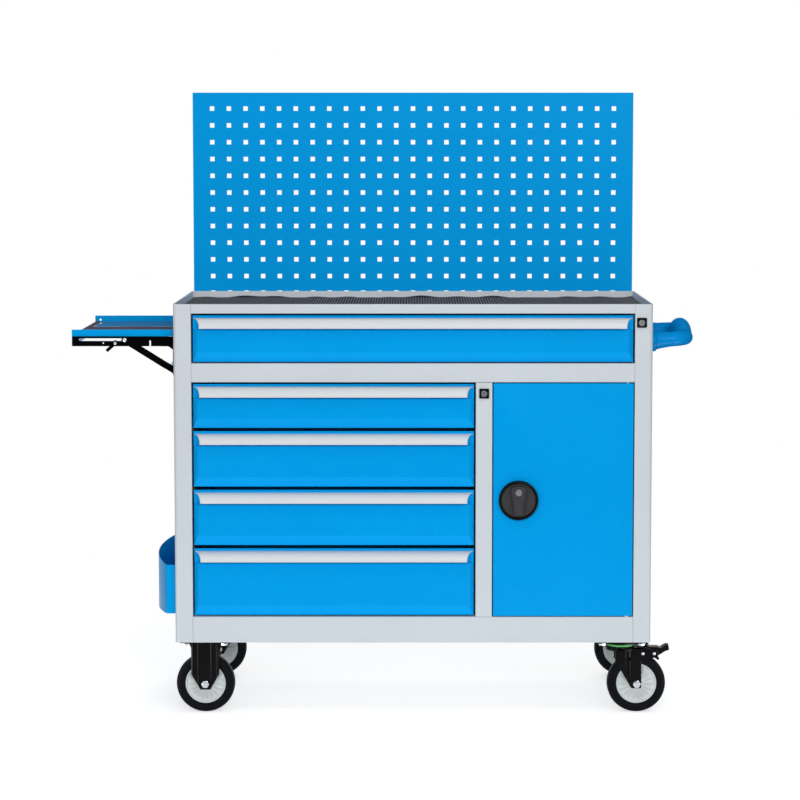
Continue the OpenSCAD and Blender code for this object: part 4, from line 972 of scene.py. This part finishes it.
class CART_OT_fasteners(bpy.types.Operator):
    """Makes the hexagon bolts and nuts of casters, board, handle, bin and brackets"""

    bl_idname = "cart.fasteners"
    bl_label = "Fasteners"

    def execute(self, context):
        shape = Shape()
        sheet, shanks = mm_of("sheet"), []
        pan_low, pan_high = box_mm("base_pan")
        forks_low, forks_high = box_mm("fixed_forks")
        plates_low, plates_high = box_mm("swivel_plates")
        under, in_x, in_y = pan_low[2] - PLATE_T, 10.5, 10
        for x0, x1 in ((forks_low[0], forks_high[0]), (plates_low[0], plates_high[0])):
            for y0 in (forks_low[1], forks_high[1] - PLATE_W):
                grid = [(x, y) for x in (x0 + in_x, x1 - in_x) for y in (y0 + in_y, y0 + PLATE_W - in_y)]
                hex_heads(shape, [(x, y, under) for x, y in grid], "-Z")
                hex_heads(shape, [(x, y, pan_high[2]) for x, y in grid], "+Z")
                shanks += [((x, y, under), "+Z", PLATE_T + 2) for x, y in grid]
        board_low, board_high = box_mm("pegboard")
        pitch, up = (board_high[0] - board_low[0]) / 5, 12
        board = [(pitch * k, board_low[1], board_low[2] + up) for k in range(-2, 3)]
        hex_heads(shape, [(x, y + sheet, z) for x, y, z in board], "+Y")
        hex_heads(shape, [(x, y - sheet, z) for x, y, z in board], "-Y", washer=False)
        shanks += [((x, y - sheet, z), "+Y", 2 * sheet) for x, y, z in board]
        grip_low, grip_high = box_mm("push_handle")
        feet = [(grip_low[0] - sheet, y, grip_low[2] + FOOT_R)
                for y in (grip_low[1] + FOOT_R, grip_high[1] - FOOT_R)]
        hex_heads(shape, feet, "-X")
        shanks += [(at, "+X", 15.0) for at in feet]
        bin_low, bin_high = box_mm("side_bin")
        wall, length, bolt_up = bin_high[0], bin_high[1] - bin_low[1], 52.5
        holds = [(bin_low[1] + k * length, bin_low[2] + bolt_up) for k in (0.3, 0.7)]
        hex_heads(shape, [(wall - sheet, y, z) for y, z in holds], "-X")
        hex_heads(shape, [(wall + sheet, y, z) for y, z in holds], "+X", washer=False)
        shanks += [((wall - sheet, y, z), "+X", 2 * sheet) for y, z in holds]
        bracket, web, foot_y, drop = 2 * sheet, box_mm("shelf_arms")[0][1] - 3.4, 17.5, 5
        spots = [(sign * (web + foot_y), z) for sign in (1, -1)
                 for z in (pivot_of("shelf_fold")[2] - drop, pivot_of("strut_turn")[2])]
        hex_heads(shape, [(wall - bracket, y, z) for y, z in spots], "-X", washer=False)
        hex_heads(shape, [(wall + sheet, y, z) for y, z in spots], "+X", washer=False)
        shanks += [((wall - bracket, y, z), "+X", bracket + sheet) for y, z in spots]
        for at, axis, length in shanks:
            round_body(shape, [(BOLT_R, 0), (BOLT_R, length)], 24, at, axis)
        make_piece("fasteners", shape, "cabinet", "zinc_plate", ["hex_bolts"])
        return {"FINISHED"}


def dome(radius, height):
    """Profile of a rivet's round head: a quarter circle from the rim to the crown, flattened to
    its height."""
    angle = np.radians(np.linspace(0, 86, 8))
    return np.stack([radius * np.cos(angle), height * np.sin(angle)], -1)


class CART_OT_rivets(bpy.types.Operator):
    """Sets bright rivet heads on the shelf brackets and the swivel forks"""

    bl_idname = "cart.rivets"
    bl_label = "Rivets"

    def execute(self, context):
        struts_low, struts_high = box_mm("shelf_struts")
        arms_low, arms_high = box_mm("shelf_arms")
        hinge, press, pedal = (pivot_of(name) for name in ("shelf_fold", "lever_press", "front_pedal_press"))
        strut_pin, catch, fork_step = 88, 25, 24.0
        shape = Shape()
        for y, axis in ((struts_low[1], "-Y"), (struts_high[1], "+Y")):
            round_body(shape, dome(4.4, 2.4), 32, (hinge[0] - strut_pin, y, hinge[2]), axis)
        make_piece("strut_rivets", shape, "struts", "zinc_plate")
        shape = Shape()
        for y, axis in ((arms_low[1], "-Y"), (arms_high[1], "+Y")):
            round_body(shape, dome(3.2, 1.6), 32, (press[0], y, press[2]), axis)
            round_body(shape, dome(1.9, 1.2), 24, (press[0] - catch, y, press[2] + 0.5), axis)
        make_piece("arm_rivets", shape, "shelf", "zinc_plate")
        shape = Shape()
        for sign, axis in ((-1, "-Y"), (1, "+Y")):
            for dx in (0.0, -fork_step):
                round_body(shape, dome(3.6, 2.0), 32, pedal + (dx, sign * LEG_OUT, 0), axis)
        make_piece("fork_rivets", shape, "front_swivel", "zinc_plate")
        return {"FINISHED"}


def ribbed_leg(shape, at, sign, heights, left, right, ribs):
    """Pressed leg of a fork: across it runs from the left edge to the right edge at each height, and
    its outer face stands out by a bump of exp(-(x - x_rib)^2 / w^2) along each rib."""
    rows = np.unique(np.concatenate([np.linspace(heights[0], heights[-1], 50), heights]))[:, None]
    share = np.linspace(0, 1, 121)[None, :]
    a, b = np.interp(rows, heights, left), np.interp(rows, heights, right)
    x = a + (b - a) * share
    rib_w, rib_h, edge_w, edge_drop = 1.3, 2.8, 1.5, 0.6
    bump = sum(np.exp(-((x - spot) / rib_w) ** 2) for spot in ribs)
    edge = np.minimum(np.minimum(x - a, b - x) / edge_w, 1)
    out = LEG_OUT + rib_h * np.clip(bump, 0, 1) * edge - edge_drop * (1 - edge) ** 2
    faces = [np.stack(np.broadcast_arrays(at[0] + x, at[1] + sign * y, rows), -1)
             for y in (out, LEG_IN + 0 * x)]
    for points in faces:
        shape.grid(points)
    for line in (np.s_[0], np.s_[-1], np.s_[:, 0], np.s_[:, -1]):
        shape.grid(np.stack([points[line] for points in faces]))


def rounded_plate(shape, low, high, radius):
    """Flat plate with round corners and softened edges."""
    loop = box_loop(low[:2], high[:2], radius)
    centre = (np.asarray(low[:2]) + np.asarray(high[:2])) / 2
    levels = [(0.6, low[2]), (0.0, low[2] + 0.6), (0.0, high[2] - 0.6), (0.6, high[2])]
    rings = [np.stack([r[:, 0], r[:, 1], 0 * r[:, 0] + h], -1) for r, h in scaled_stack(loop, centre, levels)]
    shape.grid(np.stack(rings), wrap_cols=True, cap_rows=True)


class CART_OT_fixed_casters(bpy.types.Operator):
    """Presses the fixed casters' forks with four ribs on each leg"""

    bl_idname = "cart.fixed_casters"
    bl_label = "Fixed casters"

    def execute(self, context):
        low, high = box_mm("fixed_forks")
        shape = Shape()
        tip, plate, wide = low[2], high[2] - PLATE_T, PLATE_W / 2
        x = (low[0] + high[0]) / 2
        heights = [tip, tip + 0.8, tip + 2.5, tip + 34, plate - 13, plate - 9, plate - 4, plate + 0.5]
        half = np.array([10, 11.2, 12.4, 30, 30, 31.2, 34, 38.5])
        for y in (low[1] + wide, high[1] - wide):
            rounded_plate(shape, (low[0], y - wide, plate), (high[0], y + wide, high[2]), 8)
            for sign in (-1, 1):
                ribbed_leg(shape, (x, y), sign, heights, -half, half, (-26, -14, 14, 26))
        make_piece("fixed_caster_forks", shape, "cabinet", "black_paint",
                   ["fixed_forks"], 40)
        return {"FINISHED"}


class CART_OT_swivel_casters(bpy.types.Operator):
    """Presses the swivel casters' forks, turns their seals and shapes the brake pedal"""

    bl_idname = "cart.swivel_casters"
    bl_label = "Swivel casters"

    def execute(self, context):
        seal_low, seal_high = box_mm("swivel_seals")
        shape = Shape()
        x, radius = (seal_low[0] + seal_high[0]) / 2, 30
        ring = [(6.1, 0), (27, 0), (29.2, 0.4), (radius, 1.4), (radius, 2.8), (28.8, 3.6), (29.6, 4.4),
                (28.4, 5), (6.1, 5)]
        for y in (seal_low[1] + radius, seal_high[1] - radius):
            shape.grid(faced(turned(ring, 64), (x, y, seal_low[2]), "+Z"), wrap_rows=True, wrap_cols=True)
        make_piece("caster_seals", shape, "cabinet", "seal_plastic", ["swivel_seals"])
        for end in ENDS:
            low, high = box_mm(end + "_swivel_fork")
            x, y, _ = pivot_of(end + "_swivel_turn")
            tip, top = low[2], high[2]
            crown = [(6.2, top - 5), (25, top - 5), (28, top - 6), (30.5, top - 8), (32, top - 8.4),
                     (33, top - 7.4), (33, top - 2.5), (32.2, top - 0.9), (30.5, top - 0.2), (28, top),
                     (6.2, top)]
            shape = Shape()
            shape.grid(faced(turned(crown, 96), (x, y, 0), "+Z"), wrap_rows=True, wrap_cols=True)
            rounded_plate(shape, (x, y - LEG_OUT, top - 5), (x + 48, y + LEG_OUT, top - 0.3), 3)
            heights = [tip, tip + 0.8, tip + 2.5, tip + 38, tip + 58.7, tip + 59.2]
            left = [23, 21.3, 19.8, 0, -12.8, -13]
            right = [41, 42.4, 43, 43, 43, 43]
            if end == "front":
                heights += [tip + 67.7, tip + 80.7]
                left += [-13, -13]
                right[-1:] = [44.5, 78, 78]
            heights, left, right = heights + [top - 1], left + [-13], right + [50 if end == "front" else 48]
            for sign in (-1, 1):
                ribbed_leg(shape, (x, y), sign, heights, left, right, (8.4, 16.8))
            if end == "front":
                round_body(shape, [(3, -22), (3, 22)], 32, pivot_of("front_pedal_press"), "+Y")
            make_piece(end + "_caster_fork", shape, end + "_swivel", "black_paint",
                       [end + "_swivel_fork"], 40)
        pin = pivot_of("front_pedal_press")
        pedal_low, pedal_high = box_mm("front_brake_pedal")
        # The pedal is its side outline carried across its width and scaled down a little at both ends.
        side = [(-14, -5), (-2, -8), (9, -16), (12.5, -13.5), (8, -7), (26, 4.4), (33, 6), (32, 15.5),
                (24, 16), (15, 10.3), (8, 12.8), (-13, 13)]
        loop = filleted(side, [2, 2, 1, 1, 1.5, 4, 1.5, 2, 2, 3, 3, 2], 4, closed=True)
        middle = loop.mean(0)
        half = (pedal_high[1] - pedal_low[1]) / 2
        spots = np.array([-half, -half + 0.8, -half + 2, half - 2, half - 0.8, half])
        shrink = np.array([0.06, 0.015, 0, 0, 0.015, 0.06])
        points = [np.stack([pin[0] + r[:, 0], pin[1] + s + 0 * r[:, 0], pin[2] + r[:, 1]], -1)
                  for s, r in ((s, middle + (loop - middle) * (1 - k)) for s, k in zip(spots, shrink))]
        shape = Shape()
        shape.grid(np.stack(points), wrap_cols=True, cap_rows=True)
        tread = box_loop((-0.5, -11.5), (0.5, 11.5), 0.4, 2)
        for k in range(4):
            x, y, z = pin + (24.5 + 2.2 * k, 0, 15.0)
            rings = [np.stack([x + tread[:, 0] * s, y + tread[:, 1] * s, z + h + 0 * tread[:, 0]], -1)
                     for s, h in ((1.0, 0.0), (1.0, 2.2), (0.9, 2.6))]
            shape.grid(np.stack(rings), wrap_cols=True, cap_rows=True)
        make_piece("pedal_casting", shape, "front_pedal", "black_plastic",
                   ["front_brake_pedal"], 35)
        return {"FINISHED"}


class CART_OT_wheels(bpy.types.Operator):
    """Turns the tyres, the pleated wheel centres and the axle bolts"""

    bl_idname = "cart.wheels"
    bl_label = "Wheels"

    def execute(self, context):
        count = sizes().pleats
        radius, hub = 62.5, 43.0

        def pleat(r, h, angle):
            """Sinks each face by up to 4.5 mm along a zigzag of the angle, faded out at boss and rim."""
            fade = np.clip((r - 15) / 6, 0, 1) * np.clip((hub - 5 - r) / 4, 0, 1)
            fold = 2 * np.abs(count * angle / (2 * math.pi) % 1 - 0.5)
            return r, h - np.sign(h) * 4.5 * fade * fold

        half_tyre = [(hub, 0), (hub, 13.8), (hub + 0.6, 15.0), (hub + 1.6, 15.9), (hub + 3.2, 16.3),
                     (hub + 4.0, 15.9), (hub + 4.6, 16.4), (hub + 7, 16.9), (hub + 9, 17.0),
                     (radius - 6.5, 16.6), (radius - 5.6, 16.1), (radius - 4.6, 15.9), (radius - 2.8, 14.2),
                     (radius - 1.3, 11.8), (radius - 0.4, 9.0), (radius, 6.0), (radius, 0)]
        tyre = half_tyre + [(r, -h) for r, h in half_tyre[-2:0:-1]]
        half_hub = [(6.1, 19.7), (10.5, 19.7), (12.5, 19.2), (13.6, 18.0), (14.0, 16.8), (15.5, 16.4),
                    (19, 16.0), (24, 15.2), (29, 14.0), (34, 12.4), (36.5, 11.0), (38, 10.6), (39, 11.2),
                    (39.6, 13.2), (40.2, 14.4), (41.4, 14.9), (42.6, 14.6), (hub, 13.8)]
        centre = half_hub + [(r, -h) for r, h in half_hub[::-1]]
        for end in ENDS:
            for side in SIDES:
                wheel = f"{end}_{side}_wheel"
                at = pivot_of(wheel + "_spin")
                shape = Shape()
                shape.grid(faced(turned(tyre, 128), at, "-Y"), wrap_rows=True, wrap_cols=True)
                make_piece(wheel + "_tread", shape, wheel, "tyre_rubber",
                           [f"{end}_{side}_tyre"], 50)
                shape = Shape()
                shape.grid(faced(turned(centre, 12 * count, pleat), at, "-Y"), wrap_rows=True, wrap_cols=True)
                make_piece(wheel + "_centre", shape, wheel, "wheel_plastic",
                           [f"{end}_{side}_hub"], 40)
        for name, body, spots, node in (
                ("fixed_axle_bolts", "cabinet", ("front_left", "rear_left"), "fixed_axles"),
                ("front_axle_bolt", "front_swivel", ("front_right",), "front_swivel_axle"),
                ("rear_axle_bolt", "rear_swivel", ("rear_right",), "rear_swivel_axle")):
            shape = Shape()
            for spot in spots:
                at = pivot_of(spot + "_wheel_spin")
                round_body(shape, [(6, -22.9), (6, 22.9)], 32, at, "+Y")
                for sign, axis in ((-1, "-Y"), (1, "+Y")):
                    hex_heads(shape, [at + (0, sign * LEG_OUT, 0)], axis, 8.2, 6.0, washer=False)
            make_piece(name, shape, body, "zinc_plate", [node])
        return {"FINISHED"}


class CART_OT_stage(bpy.types.Operator):
    """Sets the pale floor, the soft lamps and the camera"""

    bl_idname = "cart.stage"
    bl_label = "Stage"

    def seen(self, tree):
        """1 for a ray from the camera, a gloss or a glass, else 0."""
        path = tree.nodes.new("ShaderNodeLightPath")
        value = path.outputs["Is Camera Ray"]
        for other in ("Is Glossy Ray", "Is Transmission Ray"):
            larger = tree.nodes.new("ShaderNodeMath")
            larger.operation = "MAXIMUM"
            tree.links.new(value, larger.inputs[0])
            tree.links.new(path.outputs[other], larger.inputs[1])
            value = larger.outputs[0]
        return value

    def floor_finish(self):
        """Pale floor that takes the cart's shadow and gives way to the white studio with its distance."""
        made = Finish("floor_pale", Roughness=0.9, Specular_IOR_Level=0.0)
        made.shader.inputs["Base Color"].default_value = (0.9, 0.9, 0.9, 1)
        glow = made.node("ShaderNodeEmission")
        made.link(made.ranged(self.seen(made.tree), 0.0, 0.56, 0.0, 1.0), glow.inputs["Strength"])
        both = made.node("ShaderNodeAddShader")
        made.link(made.shader.outputs[0], both.inputs[0])
        made.link(glow.outputs[0], both.inputs[1])
        away = made.node("ShaderNodeVectorMath", operation="LENGTH")
        made.link(made.place, away.inputs[0])
        fade = made.node("ShaderNodeMixShader")
        made.link(made.ranged(away.outputs["Value"], 0.0, 1.0, 0.8, 2.2), fade.inputs[0])
        made.link(both.outputs[0], fade.inputs[1])
        made.link(made.node("ShaderNodeBsdfTransparent").outputs[0], fade.inputs[2])
        made.link(fade.outputs[0], made.out.inputs[0])
        return made.material

    def dark_wall(self, scene):
        """Dark end of the studio behind the camera, which only glossy skins see."""
        mesh = bpy.data.meshes.new("dark_wall")
        x, y, low, high = 5.0, -6.4, -2.5, 5.0
        mesh.from_pydata([(-x, y, low), (x, y, low), (x, y, high), (-x, y, high)], [], [(0, 1, 2, 3)])
        wall = bpy.data.objects.new("dark_wall", mesh)
        scene.collection.objects.link(wall)
        made = Finish("wall_dark", Roughness=0.9, Specular_IOR_Level=0.0)
        made.shader.inputs["Base Color"].default_value = (0.03, 0.03, 0.03, 1)
        mesh.materials.append(made.material)
        wall.visible_camera = wall.visible_diffuse = wall.visible_shadow = wall.visible_transmission = False

    def execute(self, context):
        scene = context.scene
        scene.view_settings.view_transform = "Standard"
        mesh = bpy.data.meshes.new("floor")
        reach = 8.0
        corners = [(-reach, -reach, 0), (reach, -reach, 0), (reach, reach, 0), (-reach, reach, 0)]
        mesh.from_pydata(corners, [], [(0, 1, 2, 3)])
        floor = bpy.data.objects.new("floor", mesh)
        scene.collection.objects.link(floor)
        mesh.materials.append(self.floor_finish())
        self.dark_wall(scene)
        world = bpy.data.worlds.new("studio")
        scene.world = world
        world.use_nodes = True
        tree = world.node_tree
        tree.nodes.clear()
        ambient = tree.nodes.new("ShaderNodeBackground")
        ambient.inputs["Strength"].default_value = 0.28
        plain = tree.nodes.new("ShaderNodeBackground")
        mix = tree.nodes.new("ShaderNodeMixShader")
        out = tree.nodes.new("ShaderNodeOutputWorld")
        for back in (ambient, plain):
            back.inputs["Color"].default_value = (1, 1, 1, 1)
        tree.links.new(self.seen(tree), mix.inputs[0])
        tree.links.new(ambient.outputs[0], mix.inputs[1])
        tree.links.new(plain.outputs[0], mix.inputs[2])
        tree.links.new(mix.outputs[0], out.inputs[0])
        for name, place, aim, width, height, power, kind in (
                ("key_lamp", (0.6, -5.4, 2.3), (0.0, 0.0, 0.7), 2.2, 2.2, 62.0, "soft"),
                ("low_lamp", (-0.3, -4.6, 1.25), (0.0, 0.0, 0.75), 2.4, 0.8, 46.0, "soft"),
                ("floor_lamp", (0.0, -0.62, 0.03), (0.0, -0.6, 1.0), 2.2, 0.5, 1.4, "soft"),
                ("board_lamp", (0.0, -1.1, 2.15), (0.0, 0.25, 0.9), 1.4, 0.5, 5.0, "soft"),
                ("left_strip", (-2.6, -4.6, 1.6), (0.0, 0.0, 0.8), 0.35, 3.0, 24.0, "both"),
                ("right_strip", (2.6, -4.6, 1.6), (0.0, 0.0, 0.8), 0.35, 3.0, 24.0, "both"),
                ("left_gleam", (-1.0, -0.6, 0.02), (-1.0, -0.55, 1.0), 0.45, 0.6, 10.0, "gleam"),
                ("right_gleam", (1.1, -0.6, 0.02), (1.1, -0.55, 1.0), 0.45, 0.6, 10.0, "gleam"),
                ("glint_lamp", (1.5, -5.2, 3.0), (0.3, 0.0, 0.8), 0.5, 0.5, 80.0, "gleam"),
                ("back_lamp", (0.5, 3.6, 3.0), (0.0, 0.0, 0.9), 2.4, 2.4, 45.0, "soft")):
            lamp = bpy.data.lights.new(name, "AREA")
            lamp.shape = "RECTANGLE"
            lamp.size, lamp.size_y = width, height
            lamp.energy = power
            holder = bpy.data.objects.new(name, lamp)
            holder.visible_camera = False
            holder.visible_glossy = kind != "soft"
            holder.visible_diffuse = kind != "gleam"
            scene.collection.objects.link(holder)
            holder.location = place
            gaze = np.array(aim) - np.array(place)
            tilt = math.acos(-gaze[2] / np.linalg.norm(gaze))
            holder.rotation_euler = (tilt, 0, math.atan2(-gaze[0], gaze[1]))
        lens = bpy.data.cameras.new("camera")
        lens.sensor_width = 36.0
        lens.lens = 122.2
        lens.shift_x = -0.01625
        camera = bpy.data.objects.new("camera", lens)
        scene.collection.objects.link(camera)
        camera.location = (0.0, -5.947, 1.218)
        camera.rotation_euler = (math.radians(90 - 5.446), 0, 0)
        scene.camera = camera
        return {"FINISHED"}


STEPS = (CART_OT_finishes, CART_OT_cabinet, CART_OT_worktop_mat, CART_OT_drawers, CART_OT_pulls, CART_OT_door,
         CART_OT_knob, CART_OT_locks, CART_OT_handle, CART_OT_bin, CART_OT_fasteners, CART_OT_rivets,
         CART_OT_fixed_casters, CART_OT_swivel_casters, CART_OT_wheels, CART_OT_stage)


class CART_PT_sidebar(bpy.types.Panel):
    """Lists the cart's steps, sizes and colours"""

    bl_idname = "CART_PT_sidebar"
    bl_label = "Tool Cart"
    bl_space_type = "VIEW_3D"
    bl_region_type = "UI"
    bl_category = "Tool Cart"

    def draw(self, context):
        for step in STEPS:
            self.layout.operator(step.bl_idname)
        for group in (context.scene.cart_sizes, context.scene.cart_colours):
            for name in group.__annotations__:
                self.layout.prop(group, name)


CLASSES = (CartColours, CartSizes) + STEPS + (CART_PT_sidebar,)


def register():
    """Registers the classes and ties the settings to the scene."""
    for made in CLASSES:
        bpy.utils.register_class(made)
    bpy.types.Scene.cart_colours = bpy.props.PointerProperty(type=CartColours)
    bpy.types.Scene.cart_sizes = bpy.props.PointerProperty(type=CartSizes)


def unregister():
    """Takes back what register does, in reverse."""
    del bpy.types.Scene.cart_sizes
    del bpy.types.Scene.cart_colours
    for made in reversed(CLASSES):
        bpy.utils.unregister_class(made)


def main():
    """Builds the cart step by step."""
    register()
    for step in STEPS:
        group, name = step.bl_idname.split(".")
        getattr(getattr(bpy.ops, group), name)()


if __name__ == "__main__":
    main()
